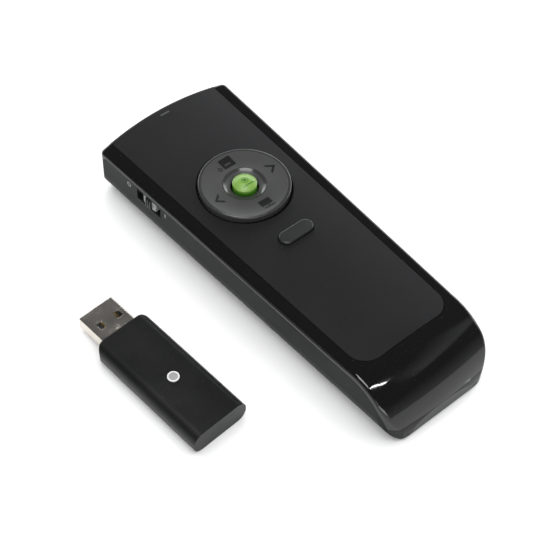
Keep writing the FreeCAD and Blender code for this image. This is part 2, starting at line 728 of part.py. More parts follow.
def laser_button():
    """domed cap: a profile turned about the upright axis"""
    top = LASER_SIDE_TOP + LASER_DOME
    socket = LASER_BOTTOM + LASER_SOCKET
    across, drop = dome_middle(LASER_R, LASER_DOME)
    inner = PLUNGER_R + PIN_FIT
    edges = [line((inner, 0, LASER_BOTTOM), (LASER_R, 0, LASER_BOTTOM)),
             line((LASER_R, 0, LASER_BOTTOM), (LASER_R, 0, LASER_SIDE_TOP)),
             arc((LASER_R, 0, LASER_SIDE_TOP), (across, 0, top - drop), (0, 0, top)),
             line((0, 0, top), (0, 0, socket)),
             line((0, 0, socket), (inner, 0, socket)),
             line((inner, 0, socket), (inner, 0, LASER_BOTTOM))]
    solid = Part.Face(Part.Wire(edges)).revolve(Vector(0, 0, 0), Vector(0, 0, 1), 360)
    solid.translate(Vector(0, DISC_Y, 0))
    return solid


def laser_plunger():
    stem = post(PLUNGER_R, 0, DISC_Y, PRESS_Z, LASER_BOTTOM + LASER_SOCKET)
    return stem.fuse(post(PLUNGER_FLANGE_R, 0, DISC_Y, PRESS_Z, PRESS_Z + PLUNGER_FLANGE))


def function_button():
    top = SPLIT_Z - KEY_FLANGE_GAP
    solid = obround(KEY_LONG, KEY_WIDE, KEY_Y, top, HEIGHT + KEY_PROUD)
    solid = solid.makeFillet(KEY_EDGE_R, flat_edges(solid, HEIGHT + KEY_PROUD))
    flange = obround(KEY_LONG + 2 * KEY_FLANGE, KEY_WIDE + 2 * KEY_FLANGE, KEY_Y, top - KEY_FLANGE_THICK, top)
    return solid.fuse([flange, post(KEY_STEM_R, 0, KEY_Y, PRESS_Z, top)])


def power_switch_knob():
    """ribbed block in the wall's slot, with the flange and the tang behind it"""
    block_long = KNOB_RIBS * KNOB_RIB_PITCH
    block_tall = SLOT_TALL - 2 * KNOB_HEIGHT_GAP
    flange_long = SLOT_LONG + 2 * SWITCH_TRAVEL + 2 * FLANGE_LAP
    flange_in = WALL + FLANGE_GAP + FLANGE_THICK
    block = box(-KNOB_PROUD, flange_in, -block_long / 2, block_long / 2, -block_tall / 2, block_tall / 2)
    grooves = []
    for index in range(KNOB_RIBS - 1):
        y = (index + 1) * KNOB_RIB_PITCH - block_long / 2 - KNOB_RIB_GROOVE / 2
        grooves.append(box(-OVERRUN, 0, y, y + KNOB_RIB_GROOVE, -SLOT_TALL, SLOT_TALL))
    flange = box(WALL + FLANGE_GAP, flange_in, -flange_long / 2, flange_long / 2,
                 -FLANGE_TALL / 2, FLANGE_TALL / 2)
    tang = box(flange_in, flange_in + TANG_DEEP, -TANG_LONG / 2, TANG_LONG / 2, -TANG_TALL / 2, TANG_TALL / 2)
    return along_left_wall(block.cut(grooves).fuse([flange, tang]))


def power_switch_body():
    """metal can on the board, with a window for the tang"""
    face = WALL + FLANGE_GAP + FLANGE_THICK + CAN_GAP
    low = BOARD_TOP - SWITCH_Z
    can = box(face, face + CAN_DEEP, -CAN_LONG / 2, CAN_LONG / 2, low, low + CAN_TALL)
    half = TANG_LONG / 2 + SWITCH_TRAVEL + CAN_WINDOW_GAP
    tall = TANG_TALL / 2 + CAN_WINDOW_GAP
    window = box(face, face + CAN_WINDOW_DEEP, -half, half, -tall, tall)
    return along_left_wall(can.cut(window))


# Light pipe, laser, board

def status_light_pipe(form):
    half = PIPE_WIDE / 2
    leg = box(-half, half, PIPE_Y - PIPE_THICK / 2, PIPE_Y + PIPE_THICK / 2, PIPE_BAR_LOW, HEIGHT)
    back = LED_Y - PIPE_FOOT / 2
    bar = box(-half, half, back, PIPE_Y, PIPE_BAR_LOW, PIPE_BAR_TOP)
    foot_low = BOARD_TOP + LED_THICK + PIPE_FOOT_GAP
    foot = box(-half, half, back, back + PIPE_FOOT, foot_low, PIPE_BAR_TOP)
    return leg.fuse([bar, foot]).common(form)


def laser_window():
    return rod(WINDOW_R, (0, WINDOW_Y, BARREL_Z), (0, WINDOW_THICK, 0))


def laser_barrel():
    solid = rod(BARREL_R, (0, BARREL_BACK, BARREL_Z), (0, BARREL_LONG, 0))
    mouth = rod(BORE_R, (0, BARREL_TIP, BARREL_Z), (0, -LIP_THICK, 0))
    lip = rod(BORE_R - LIP_WIDE, (0, BARREL_TIP, BARREL_Z), (0, -BORE_DEEP, 0))
    seat = rod(BORE_R, (0, BARREL_TIP - LIP_THICK, BARREL_Z), (0, -LENS_THICK, 0))
    return solid.cut([mouth, lip, seat])


def laser_lens():
    """lens with one domed face, seated in the mouth"""
    y = BARREL_TIP - LIP_THICK
    r = BORE_R - LENS_FIT
    rise = LENS_THICK / 2
    across, drop = dome_middle(r, rise)
    edges = [line((0, y - LENS_THICK, 0), (r, y - LENS_THICK, 0)),
             line((r, y - LENS_THICK, 0), (r, y - rise, 0)),
             arc((r, y - rise, 0), (across, y - drop, 0), (0, y, 0)),
             line((0, y, 0), (0, y - LENS_THICK, 0))]
    solid = Part.Face(Part.Wire(edges)).revolve(Vector(0, 0, 0), Vector(0, 1, 0), 360)
    solid.translate(Vector(0, 0, BARREL_Z))
    return solid


def laser_driver_board():
    half = BARREL_R - DRIVER_CORNER
    return box(-half, half, BOARD_FAR, BARREL_BACK, BARREL_Z - half, BARREL_Z + half)


def main_pcb():
    outline = plan_prism(WALL + BOARD_MARGIN, BOARD_UNDER, BOARD_TOP)
    return outline.common(box(-FAR_WIDTH, FAR_WIDTH, BOARD_NEAR, BOARD_FAR, 0, HEIGHT))


def key_switches():
    pieces = []
    half = TACT_SIDE / 2
    for x, y in foot_places() + [(0, DISC_Y), (0, KEY_Y)]:
        base = box(x - half, x + half, y - half, y + half, BOARD_TOP, BOARD_TOP + TACT_BASE)
        pieces.append(base.fuse(post(TACT_TOP_R, x, y, BOARD_TOP, TACT_TOP)))
    return Part.makeCompound(pieces)


def chip_box(x, y, wide, long, low, thick):
    """flat component on a board, centred at a place"""
    return box(x - wide / 2, x + wide / 2, y - long / 2, y + long / 2, low, low + thick)


# Batteries

def cell(x):
    solid = rod(CELL_R, (x, CELL_NEAR, CELL_Z), (0, CELL_FAR - CELL_NUB - CELL_NEAR, 0))
    solid = solid.makeChamfer(CELL_EDGE, [e for e in solid.Edges if e.isClosed()])
    return solid.fuse(rod(CELL_NUB_R, (x, CELL_FAR - CELL_NUB, CELL_Z), (0, CELL_NUB, 0)))


def wire_corners():
    """the spring wire's section: a hexagon, closed on its first corner"""
    corners = []
    for index in range(7):
        turn = index * math.pi / 3
        corners.append(Vector(SPRING_R + SPRING_WIRE_R * math.cos(turn), 0, SPRING_WIRE_R * math.sin(turn)))
    return corners


def battery_springs():
    """two coils of wire on the near wall"""
    pieces = []
    long = SPRING_LONG - 2 * SPRING_WIRE_R
    for x in (-CELL_X, CELL_X):
        helix = Part.makeHelix(long / SPRING_TURNS, long, SPRING_R)
        start = Part.makePolygon(wire_corners())
        coil = Part.Wire(helix).makePipeShell([start], True, True)
        coil.rotate(Vector(0, 0, 0), Vector(1, 0, 0), -90)
        coil.translate(Vector(x, BAY_NEAR_Y + SPRING_WIRE_R, CELL_Z))
        pieces.append(coil)
    return Part.makeCompound(pieces)


def battery_plates():
    pieces = []
    half = PLATE_SIDE / 2
    for x in (-CELL_X, CELL_X):
        pieces.append(box(x - half, x + half, CELL_FAR, BAY_FAR_Y, CELL_Z - half, CELL_Z + half))
    return Part.makeCompound(pieces)


def housing_screws():
    """two screws, each with a cross in its head"""
    pieces = []
    low = SCREW_SEAT - SCREW_HEAD
    arm = DRIVE_R / 4
    for side in (-1, 1):
        x = side * SCREW_X
        head = post(SCREW_HEAD_R, x, SCREW_Y, low, SCREW_SEAT)
        shank = post(SCREW_R, x, SCREW_Y, SCREW_SEAT, SCREW_SEAT + SCREW_LONG)
        across = box(x - DRIVE_R, x + DRIVE_R, SCREW_Y - arm, SCREW_Y + arm, low, low + DRIVE_DEEP)
        along = box(x - arm, x + arm, SCREW_Y - DRIVE_R, SCREW_Y + DRIVE_R, low, low + DRIVE_DEEP)
        pieces.append(head.fuse(shank).cut([across, along]))
    return Part.makeCompound(pieces)


# Receiver, made with the plug's root at the origin and the plug along +Y

def set_down(shape):
    """put a receiver piece where the receiver lies"""
    shape.rotate(Vector(0, 0, 0), Vector(0, 0, 1), RECEIVER_TURN_DEG)
    shape.translate(Vector(RECEIVER_X, RECEIVER_Y, 0))
    return shape


def rounded_bar(wide, tall, r, y0, y1):
    """bar along Y with its long edges rounded, centred on the receiver's middle height"""
    z = SPLIT_STICK - tall / 2
    solid = box(-wide / 2, wide / 2, y0, y1, z, z + tall)
    long_edges = [e for e in solid.Edges if e.BoundBox.YLength > e.BoundBox.XLength + e.BoundBox.ZLength]
    return solid.makeFillet(r, long_edges)


def stick_form(inset):
    """the receiver's case with its two plug-end corners rounded"""
    wide = STICK_WIDE - 2 * inset
    solid = rounded_bar(wide, STICK_TALL - 2 * inset, STICK_EDGE_R - inset, inset - STICK_LONG, -inset)
    plan = box(-wide / 2, wide / 2, inset - STICK_LONG, -inset, 0, STICK_TALL)
    plan = plan.makeFillet(STICK_CORNER_R - inset, upright_edges(plan, lambda p: p.y > -STICK_CORNER_R))
    return solid.common(plan)


def receiver_shells():
    solid = stick_form(0).cut(stick_form(STICK_WALL))
    half_x = PLUG_WIDE / 2 + PLUG_FIT
    half_z = PLUG_TALL / 2 + PLUG_FIT
    mouth = box(-half_x, half_x, -PLUG_IN, OVERRUN, SPLIT_STICK - half_z, SPLIT_STICK + half_z)
    solid = solid.cut(mouth)
    lower = solid.common(box(-STICK_WIDE, STICK_WIDE, -STICK_LONG, OVERRUN, 0, SPLIT_STICK))
    upper = solid.common(box(-STICK_WIDE, STICK_WIDE, -STICK_LONG, OVERRUN, SPLIT_STICK, STICK_TALL))
    ribs = []
    for share in STICK_RIB_AT_SHARES:
        y = -PLUG_IN + share * (STICK_BOARD_NEAR + PLUG_IN)
        ribs.append(box(-STICK_RIB_HALF, STICK_RIB_HALF, y - STICK_RIB / 2, y + STICK_RIB / 2,
                        STICK_WALL / 2, STICK_BOARD_TOP - STICK_BOARD_THICK))
    upper = upper.cut(post(LINK_R + LINK_GAP, 0, LINK_Y, 0, STICK_TALL))
    return set_down(upper), set_down(lower.fuse(ribs))


def usb_plug_shell():
    """folded metal shell with two square holes in each broad side"""
    outer = rounded_bar(PLUG_WIDE, PLUG_TALL, PLUG_CORNER_R, -PLUG_IN, PLUG_OUT)
    inner = rounded_bar(PLUG_WIDE - 2 * PLUG_SHEET, PLUG_TALL - 2 * PLUG_SHEET, PLUG_CORNER_R - PLUG_SHEET,
                        -PLUG_IN, PLUG_OUT)
    y = PLUG_OUT - PLUG_HOLE_FROM_TIP
    holes = pair_boxes(PLUG_HOLE_X - PLUG_HOLE_WIDE / 2, PLUG_HOLE_X + PLUG_HOLE_WIDE / 2,
                       y - PLUG_HOLE_LONG / 2, y + PLUG_HOLE_LONG / 2, 0, STICK_TALL)
    return set_down(outer.cut([inner] + holes))


def usb_tongue():
    half = PLUG_WIDE / 2 - PLUG_CORNER_R - TONGUE_FIT
    low = SPLIT_STICK - PLUG_TALL / 2 + PLUG_SHEET
    return set_down(box(-half, half, -PLUG_IN, PLUG_OUT - TONGUE_SET_BACK, low, low + TONGUE_THICK))


def usb_contacts():
    """two long and two short strips on the tongue"""
    top = SPLIT_STICK - PLUG_TALL / 2 + PLUG_SHEET + TONGUE_THICK
    far = PLUG_OUT - TONGUE_SET_BACK - PAD_SET_BACK
    pieces = pair_boxes(PAD_OUTER_X - PAD_WIDE / 2, PAD_OUTER_X + PAD_WIDE / 2, far - PAD_OUTER_LONG, far,
                        top, top + PAD_THICK)
    pieces += pair_boxes(PAD_INNER_X - PAD_WIDE / 2, PAD_INNER_X + PAD_WIDE / 2,
                         far - PAD_INNER_LONG - PAD_WIDE, far - PAD_WIDE, top, top + PAD_THICK)
    return set_down(Part.makeCompound(pieces))


def receiver_pcb():
    half = STICK_WIDE / 2 - STICK_WALL - STICK_BOARD_MARGIN
    return set_down(box(-half, half, STICK_BOARD_NEAR, -PLUG_IN, STICK_BOARD_TOP - STICK_BOARD_THICK,
                        STICK_BOARD_TOP))


def link_button():
    top = STICK_TALL + LINK_PROUD
    under = STICK_TALL - STICK_WALL - LINK_FLANGE_GAP
    cap = post(LINK_R, 0, LINK_Y, under, top)
    cap = cap.makeFillet(LINK_EDGE_R, flat_edges(cap, top))
    flange = post(LINK_R + LINK_FLANGE, 0, LINK_Y, under - LINK_FLANGE_THICK, under)
    stem_low = STICK_BOARD_TOP + LINK_SWITCH_TALL + LINK_TRAVEL_GAP
    return set_down(cap.fuse([flange, post(LINK_STEM_R, 0, LINK_Y, stem_low, under)]))


def on_stick(x, y, wide, long, thick):
    """component on the receiver's board"""
    return set_down(chip_box(x, y, wide, long, STICK_BOARD_TOP, thick))


form = case_form()
cavity = case_cavity()
save("top_cover", top_cover(form, cavity))
save("face_panel", face_panel(form))
save("bottom_shell", bottom_shell(form, cavity))
save("battery_door", battery_door(form, cavity))
save("nav_disc", nav_disc())
save("disc_rocker_ring", disc_rocker_ring())
save("laser_button", laser_button())
save("laser_plunger", laser_plunger())
save("function_button", function_button())
save("power_switch_knob", power_switch_knob())
save("power_switch_body", power_switch_body())
save("status_light_pipe", status_light_pipe(form))
save("laser_window", laser_window())
save("laser_barrel", laser_barrel())
save("laser_lens", laser_lens())
save("laser_driver_board", laser_driver_board())
save("main_pcb", main_pcb())
save("key_switches", key_switches())
save("radio_chip", chip_box(CHIP_X, CHIP_Y, CHIP_SIDE, CHIP_SIDE, BOARD_TOP, CHIP_THICK))
save("crystal", chip_box(CRYSTAL_X, CHIP_Y, CRYSTAL_WIDE, CRYSTAL_LONG, BOARD_TOP, CRYSTAL_THICK))
save("status_led", chip_box(0, LED_Y, LED_WIDE, LED_LONG, BOARD_TOP, LED_THICK))
save("battery_a", cell(-CELL_X))
save("battery_b", cell(CELL_X))
save("battery_springs", battery_springs())
save("battery_plates", battery_plates())
save("housing_screws", housing_screws())

upper, lower = receiver_shells()
save("receiver_top_shell", upper)
save("receiver_bottom_shell", lower)
save("usb_plug_shell", usb_plug_shell())
save("usb_tongue", usb_tongue())
save("usb_contacts", usb_contacts())
save("receiver_pcb", receiver_pcb())
save("link_button", link_button())
save("receiver_chip", on_stick(0, STICK_CHIP_Y, STICK_CHIP_SIDE, STICK_CHIP_SIDE, STICK_CHIP_THICK))
save("receiver_crystal", on_stick(STICK_CRYSTAL_X, STICK_CHIP_Y, STICK_CRYSTAL_WIDE, STICK_CRYSTAL_LONG,
                                  STICK_CRYSTAL_THICK))
save("receiver_led", on_stick(0, STICK_LED_Y, LED_LONG, LED_WIDE, LED_THICK))
save("link_switch", on_stick(0, LINK_Y, LINK_SWITCH_SIDE, LINK_SWITCH_SIDE, LINK_SWITCH_TALL))
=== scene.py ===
# %% [markdown]
# # A wireless presentation clicker and its radio receiver
#
# The handset lies on its back on a pale table, with its laser end away from us and its USB receiver beside
# it. A CAD model gives the solids, in metres, with +Y towards the laser end and the table at z = 0. This
# lesson gives each solid the finish of the real moulding, adds the small printed and moulded details, and
# lights the pair.
# %% Load the frame and keep its size
import math

import bpy
from mathutils import Matrix, Vector


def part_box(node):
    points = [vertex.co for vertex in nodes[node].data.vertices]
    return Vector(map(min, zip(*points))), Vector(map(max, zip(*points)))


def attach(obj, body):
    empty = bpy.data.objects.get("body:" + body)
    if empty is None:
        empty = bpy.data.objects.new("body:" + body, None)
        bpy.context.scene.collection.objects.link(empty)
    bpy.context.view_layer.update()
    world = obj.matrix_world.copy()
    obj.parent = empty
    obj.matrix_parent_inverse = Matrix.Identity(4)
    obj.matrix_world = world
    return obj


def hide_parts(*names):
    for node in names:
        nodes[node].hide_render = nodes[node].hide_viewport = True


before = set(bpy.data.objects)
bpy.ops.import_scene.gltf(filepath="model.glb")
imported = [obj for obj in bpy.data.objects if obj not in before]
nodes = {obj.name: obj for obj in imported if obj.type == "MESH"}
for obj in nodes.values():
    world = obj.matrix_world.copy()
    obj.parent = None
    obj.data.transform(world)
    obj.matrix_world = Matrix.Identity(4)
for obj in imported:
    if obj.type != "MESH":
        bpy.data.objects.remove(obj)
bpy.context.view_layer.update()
MM = 0.001

# %% [markdown]
# ## Two steps that every pattern uses
#
# A finish is a small network of nodes. Nearly every pattern in it starts from noise on Object coordinates,
# so that it stays on its piece when the piece moves, and ends with a spread: the part of the noise between
# two values is stretched over a new range.
# %% Noise and spread
def scaled_noise(tree, size, detail):
    """noise on Object coordinates; its scale comes from a socket, or is a number of cells per metre"""
    place = tree.nodes.new("ShaderNodeTexCoord")
    noise = tree.nodes.new("ShaderNodeTexNoise")
    noise.inputs["Detail"].default_value = detail
    tree.links.new(place.outputs["Object"], noise.inputs["Vector"])
    if isinstance(size, (int, float)):
        noise.inputs["Scale"].default_value = size
    else:
        tree.links.new(size, noise.inputs["Scale"])
    return noise.outputs["Fac"]


def reshaped(tree, source, low, high, to_low, to_high):
    """spread the part of a value between low and high over a new range"""
    spread = tree.nodes.new("ShaderNodeMapRange")
    for label, value in (("From Min", low), ("From Max", high), ("To Min", to_low), ("To Max", to_high)):
        socket = spread.inputs[label]
        if isinstance(value, (int, float)):
            socket.default_value = value
        else:
            tree.links.new(value, socket)
    tree.links.new(source, spread.inputs["Value"])
    return spread.outputs["Result"]


print("pattern steps:", scaled_noise.__name__, reshaped.__name__)

# %% [markdown]
# ## Shared effects
#
# Moulded plastic is never quite even. Two effects are used by nearly every finish, so each is built once as
# a node group: `moulded_grain` is the fine spark-eroded texture that a tool leaves on satin plastic, and
# `handling` is the faint cloud of finger marks and dust that changes how glossy a place is.
# %% The grain and handling groups
def new_group(name, scale, outputs):
    """empty node group with one input for its scale"""
    group = bpy.data.node_groups.new(name, "ShaderNodeTree")
    socket = group.interface.new_socket(name="Scale", in_out="INPUT", socket_type="NodeSocketFloat")
    socket.default_value = scale
    for label in outputs:
        group.interface.new_socket(name=label, in_out="OUTPUT", socket_type="NodeSocketFloat")
    return group, group.nodes.new("NodeGroupInput").outputs["Scale"], group.nodes.new("NodeGroupOutput")


grain, grain_scale, grain_out = new_group("moulded_grain", 4000.0, ["Height"])
fine = scaled_noise(grain, grain_scale, 2.0)
grain.links.new(reshaped(grain, fine, 0.3, 0.7, 0.0, 1.0), grain_out.inputs["Height"])

DUST_CELLS = 2600.0
handling, handling_scale, handling_out = new_group("handling", 60.0, ["Smudge", "Dust"])
cloud = scaled_noise(handling, handling_scale, 4.0)
handling.links.new(reshaped(handling, cloud, 0.42, 0.68, 0.0, 1.0), handling_out.inputs["Smudge"])
dots = scaled_noise(handling, DUST_CELLS, 0.0)
handling.links.new(reshaped(handling, dots, 0.79, 0.82, 0.0, 1.0), handling_out.inputs["Dust"])
print("node groups:", [g.name for g in bpy.data.node_groups])


# %% [markdown]
# ## One recipe for moulded and metal finishes
#
# A finish starts from a colour and a roughness. Grain lifts and lowers the surface a few micrometres, and
# handling changes the colour and the roughness a little from place to place. `shine` is how strongly the
# plain surface reflects, which is low on plastic with a fine texture.
# %% The finish maker
DUST_COLOUR = (0.3, 0.3, 0.29)


def mixed(tree, mask, colour_a, colour_b):
    """one colour where the mask is low, and the other where it is high"""
    mix = tree.nodes.new("ShaderNodeMix")
    mix.data_type = "RGBA"
    tree.links.new(mask, mix.inputs["Factor"])
    for index, colour in ((6, colour_a), (7, colour_b)):
        if isinstance(colour, tuple):
            mix.inputs[index].default_value = (*colour, 1.0)
        else:
            tree.links.new(colour, mix.inputs[index])
    return mix.outputs[2]


def new_finish(name, colour, rough, rough_worn, metal=0.0, grain_scale=4000.0, grain_depth=0.0,
               tint=0.25, tint_scale=60.0, dust=0.0, shine=0.5):
    """material of moulded plastic or metal; returns it with its tree, shader and colour output"""
    material = bpy.data.materials.new(name)
    material.use_nodes = True
    tree = material.node_tree
    shader = tree.nodes["Principled BSDF"]
    shader.inputs["Metallic"].default_value = metal
    shader.inputs["Specular IOR Level"].default_value = shine
    touch = tree.nodes.new("ShaderNodeGroup")
    touch.node_tree = handling
    touch.inputs["Scale"].default_value = tint_scale
    lighter = tuple(min(1.0, c * (1 + tint)) for c in colour)
    base = mixed(tree, touch.outputs["Smudge"], colour, lighter)
    if dust:
        faint = reshaped(tree, touch.outputs["Dust"], 0.0, 1.0, 0.0, dust)
        base = mixed(tree, faint, base, DUST_COLOUR)
    tree.links.new(base, shader.inputs["Base Color"])
    tree.links.new(reshaped(tree, touch.outputs["Smudge"], 0.0, 1.0, rough, rough_worn),
                   shader.inputs["Roughness"])
    if grain_depth:
        texture = tree.nodes.new("ShaderNodeGroup")
        texture.node_tree = grain
        texture.inputs["Scale"].default_value = grain_scale
        bump = tree.nodes.new("ShaderNodeBump")
        bump.inputs["Strength"].default_value = 1.0
        bump.inputs["Distance"].default_value = grain_depth * MM
        tree.links.new(texture.outputs["Height"], bump.inputs["Height"])
        tree.links.new(bump.outputs["Normal"], shader.inputs["Normal"])
    return material, tree, shader, base


def dress(node, finish):
    """give a CAD solid its finish"""
    solid = nodes[node]
    solid.data.materials.clear()
    solid.data.materials.append(finish[0])
    print(f"{node}: {finish[0].name}")


print("finish maker:", new_finish.__name__)


# %% [markdown]
# ## Masks
#
# Some finishes change along the piece: a painted band, a polished rim, a hairline where two halves meet. A
# mask is a value that is high in one region and low elsewhere, worked out from the place on the piece, and
# it can run the colour or the roughness into another. Doing this in the material keeps the solid's own mesh
# untouched.
# %% Tools for masks
def object_axis(tree, axis):
    """one coordinate of the place on the piece, in metres"""
    place = tree.nodes.new("ShaderNodeTexCoord")
    parts = tree.nodes.new("ShaderNodeSeparateXYZ")
    tree.links.new(place.outputs["Object"], parts.inputs["Vector"])
    return parts.outputs[axis]


def worked(tree, operation, *values):
    """one arithmetic step on two values"""
    step = tree.nodes.new("ShaderNodeMath")
    step.operation = operation
    for socket, value in zip(step.inputs, values):
        if isinstance(value, (int, float)):
            socket.default_value = value
        else:
            tree.links.new(value, socket)
    return step.outputs["Value"]


def between(tree, value, low_start, low_end, high_start, high_end, level=1.0):
    """a band with soft edges: it comes up over the low limits and goes down over the high ones"""
    return worked(tree, "MULTIPLY", reshaped(tree, value, low_start, low_end, 0.0, 1.0),
                  reshaped(tree, value, high_start, high_end, level, 0.0))


def ring_mask(tree, x, y, inner, outer, soft=0.08):
    """high between two distances from an upright axis, in millimetres"""
    across = worked(tree, "SUBTRACT", object_axis(tree, "X"), x * MM)
    along = worked(tree, "SUBTRACT", object_axis(tree, "Y"), y * MM)
    square = worked(tree, "ADD", worked(tree, "MULTIPLY", across, across),
                    worked(tree, "MULTIPLY", along, along))
    away = worked(tree, "SQRT", square)
    return between(tree, away, (inner - soft) * MM, (inner + soft) * MM, (outer - soft) * MM,
                   (outer + soft) * MM)


def paint(finish, mask, colour):
    """run the finish's colour into another where the mask is high"""
    material, tree, shader, base = finish
    base = mixed(tree, mask, base, colour)
    tree.links.new(base, shader.inputs["Base Color"])
    return material, tree, shader, base


def polish(finish, mask, rough):
    """run the finish's roughness into another where the mask is high"""
    tree, socket = finish[1], finish[2].inputs["Roughness"]
    tree.links.new(reshaped(tree, mask, 0.0, 1.0, socket.links[0].from_socket, rough), socket)


print("mask tools:", [tool.__name__ for tool in (between, ring_mask, paint, polish)])

# %% [markdown]
# ## The case
#
# The hood is polished black plastic: nearly no grain, low roughness, and finger marks that only show in its
# reflections. The face panel and the lower shell have a fine satin texture, the shell's a little greener
# and rougher. Each is a separate moulding on the real object, so each has its own material.
# %% Case finishes
hood = new_finish("hood_gloss", (0.0042, 0.0042, 0.0045), 0.05, 0.09, grain_scale=900.0, grain_depth=0.0006,
                  tint=0.1, tint_scale=45.0, dust=0.05, shine=0.42)
dress("top_cover", hood)
panel = new_finish("panel_satin", (0.0066, 0.0066, 0.0071), 0.46, 0.52, grain_scale=3600.0,
                   grain_depth=0.006, tint=0.08, tint_scale=30.0, dust=0.04, shine=0.15)
dress("face_panel", panel)
shell = new_finish("shell_satin", (0.0075, 0.0082, 0.0082), 0.42, 0.5, grain_scale=3000.0,
                   grain_depth=0.008, tint=0.12, tint_scale=40.0, dust=0.04, shine=0.1)
dress("bottom_shell", shell)

# %% [markdown]
# ## The battery door
#
# The door is satin like the shell, but its near end goes on from the hood and is as glossy. The two areas
# meet in a fine dark line near the left corner. Both are masks in one material, since the door is one
# moulding.
# %% The door, glossy at its near end
GLOSS_FROM, GLOSS_LEFT = -60.0, -15.0
door = new_finish("door_satin", (0.0075, 0.0082, 0.0082), 0.42, 0.5, grain_scale=3000.0, grain_depth=0.008,
                  tint=0.12, tint_scale=40.0, dust=0.04, shine=0.15)
tree = door[1]
side_way = object_axis(tree, "X")
near_end = reshaped(tree, object_axis(tree, "Y"), GLOSS_FROM * MM, (GLOSS_FROM + 0.5) * MM, 1.0, 0.0)
past_left = reshaped(tree, side_way, (GLOSS_LEFT - 0.1) * MM, (GLOSS_LEFT + 0.1) * MM, 0.0, 1.0)
line = between(tree, side_way, (GLOSS_LEFT - 0.5) * MM, (GLOSS_LEFT - 0.3) * MM, (GLOSS_LEFT - 0.1) * MM,
               (GLOSS_LEFT + 0.1) * MM)
glossy = worked(tree, "MULTIPLY", near_end, past_left)
door = paint(door, glossy, (0.0045, 0.0045, 0.0048))
door = paint(door, worked(tree, "MULTIPLY", near_end, line), (0.0015, 0.0015, 0.0015))
polish(door, glossy, 0.09)
dress("battery_door", door)

# %% [markdown]
# ## The receiver's case
#
# The receiver is a satin stick in two halves, which meet in a hairline at half height. The halves are
# modelled further down, and here they get one material with the hairline painted in.
# %% The receiver's finish
STICK_MIDDLE, HAIRLINE = 3.75, 0.1
stick = new_finish("receiver_satin", (0.0038, 0.0039, 0.004), 0.36, 0.42, grain_scale=3200.0,
                   grain_depth=0.006, tint=0.12, tint_scale=70.0, dust=0.05, shine=0.3)
tree = stick[1]
hairline = between(tree, object_axis(tree, "Z"), (STICK_MIDDLE - HAIRLINE) * MM, STICK_MIDDLE * MM,
                   STICK_MIDDLE * MM, (STICK_MIDDLE + HAIRLINE) * MM)
stick = paint(stick, hairline, (0.002, 0.002, 0.002))
print(stick[0].name, "hairline at", STICK_MIDDLE, "mm")

# %% [markdown]
# ## Disc and key
#
# The disc is mid-grey satin plastic. Its outer edge and the wall of its dish are worn smoother by the
# thumb, and a fine dark line runs round the dish. The key below it is a darker grey, and its rounded edge
# is smoother than its face.
# %% Disc and key finishes
DISC_Y, DISH_R, DISH_WALL_R, DISC_EDGE_R, PAST_DISC_R = 22.4, 6.5, 5.6, 13.0, 16.0
KEY_EDGE_Z = 20.2
disc = new_finish("disc_grey", (0.0272, 0.0277, 0.0269), 0.42, 0.48, grain_scale=4200.0, grain_depth=0.004,
                  tint=0.1, tint_scale=60.0, dust=0.03, shine=0.35)
tree = disc[1]
disc = paint(disc, ring_mask(tree, 0, DISC_Y, DISH_R, DISH_R + 0.2, 0.05), (0.012, 0.012, 0.012))
polish(disc, ring_mask(tree, 0, DISC_Y, DISC_EDGE_R, PAST_DISC_R), 0.12)
polish(disc, ring_mask(tree, 0, DISC_Y, DISH_WALL_R, DISH_R), 0.14)
dress("nav_disc", disc)
key = new_finish("key_grey", (0.0138, 0.0151, 0.0141), 0.3, 0.38, grain_scale=4200.0, grain_depth=0.004,
                 tint=0.12, tint_scale=120.0, shine=0.35)
tree = key[1]
key_edge = reshaped(tree, object_axis(tree, "Z"), KEY_EDGE_Z * MM, (KEY_EDGE_Z + 0.1) * MM, 1.0, 0.0)
polish(key, key_edge, 0.14)
dress("function_button", key)

# %% [markdown]
# ## The green cap
#
# The laser cap is translucent green. Its colour is painted from yellow green on the dome to a darker,
# strong green low on its side, as painted shade on the skirt. A little subsurface scattering softens it,
# which costs less time than a fully see-through plastic and looks the same at this size.
# %% Cap finish
SKIRT_LOW, SKIRT_HIGH = 2.5, 1.3
cap = new_finish("laser_green", (0.125, 0.238, 0.034), 0.34, 0.42, grain_scale=3000.0, grain_depth=0.003,
                 tint=0.15, tint_scale=200.0)
cap_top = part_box("laser_button")[1][2]
# painted shade: the colour turns a darker, deeper green low on the cap's skirt, fading out towards the dome
skirt_painted_shade = reshaped(cap[1], object_axis(cap[1], "Z"), cap_top - SKIRT_LOW * MM, cap_top - SKIRT_HIGH * MM, 1.0,
                 0.0)
cap = paint(cap, skirt_painted_shade, (0.05, 0.22, 0.015))
cap[2].inputs["Subsurface Weight"].default_value = 0.25
cap[2].inputs["Subsurface Radius"].default_value = (0.4, 1.0, 0.2)
cap[2].inputs["Subsurface Scale"].default_value = 0.6 * MM
dress("laser_button", cap)

# %% [markdown]
# ## Metals and inner plastics
#
# What the case holds is finished too, since it shows when the door slides off or the halves come apart:
# plated steel, turned brass, gold contacts, black chips and white nylon. The plug's nickel is a little
# warmer than the steel inside.
# %% Metals and inner plastics
nickel = new_finish("plug_nickel", (0.68, 0.64, 0.58), 0.23, 0.3, metal=1.0, grain_scale=2200.0,
                    grain_depth=0.002, tint=0.12, tint_scale=150.0)
steel = new_finish("plated_steel", (0.62, 0.62, 0.6), 0.22, 0.4, metal=1.0, grain_scale=2600.0,
                   grain_depth=0.002, tint=0.1, tint_scale=200.0)
for name in ("power_switch_body", "battery_springs", "battery_plates", "housing_screws", "crystal",
             "receiver_crystal"):
    dress(name, steel)
brass = new_finish("turned_brass", (0.72, 0.52, 0.2), 0.2, 0.35, metal=1.0, grain_scale=3000.0,
                   grain_depth=0.002, tint=0.1, tint_scale=150.0)
dress("laser_barrel", brass)
gold = new_finish("contact_gold", (0.85, 0.62, 0.25), 0.2, 0.3, metal=1.0, tint=0.05, tint_scale=300.0)
dress("usb_contacts", gold)
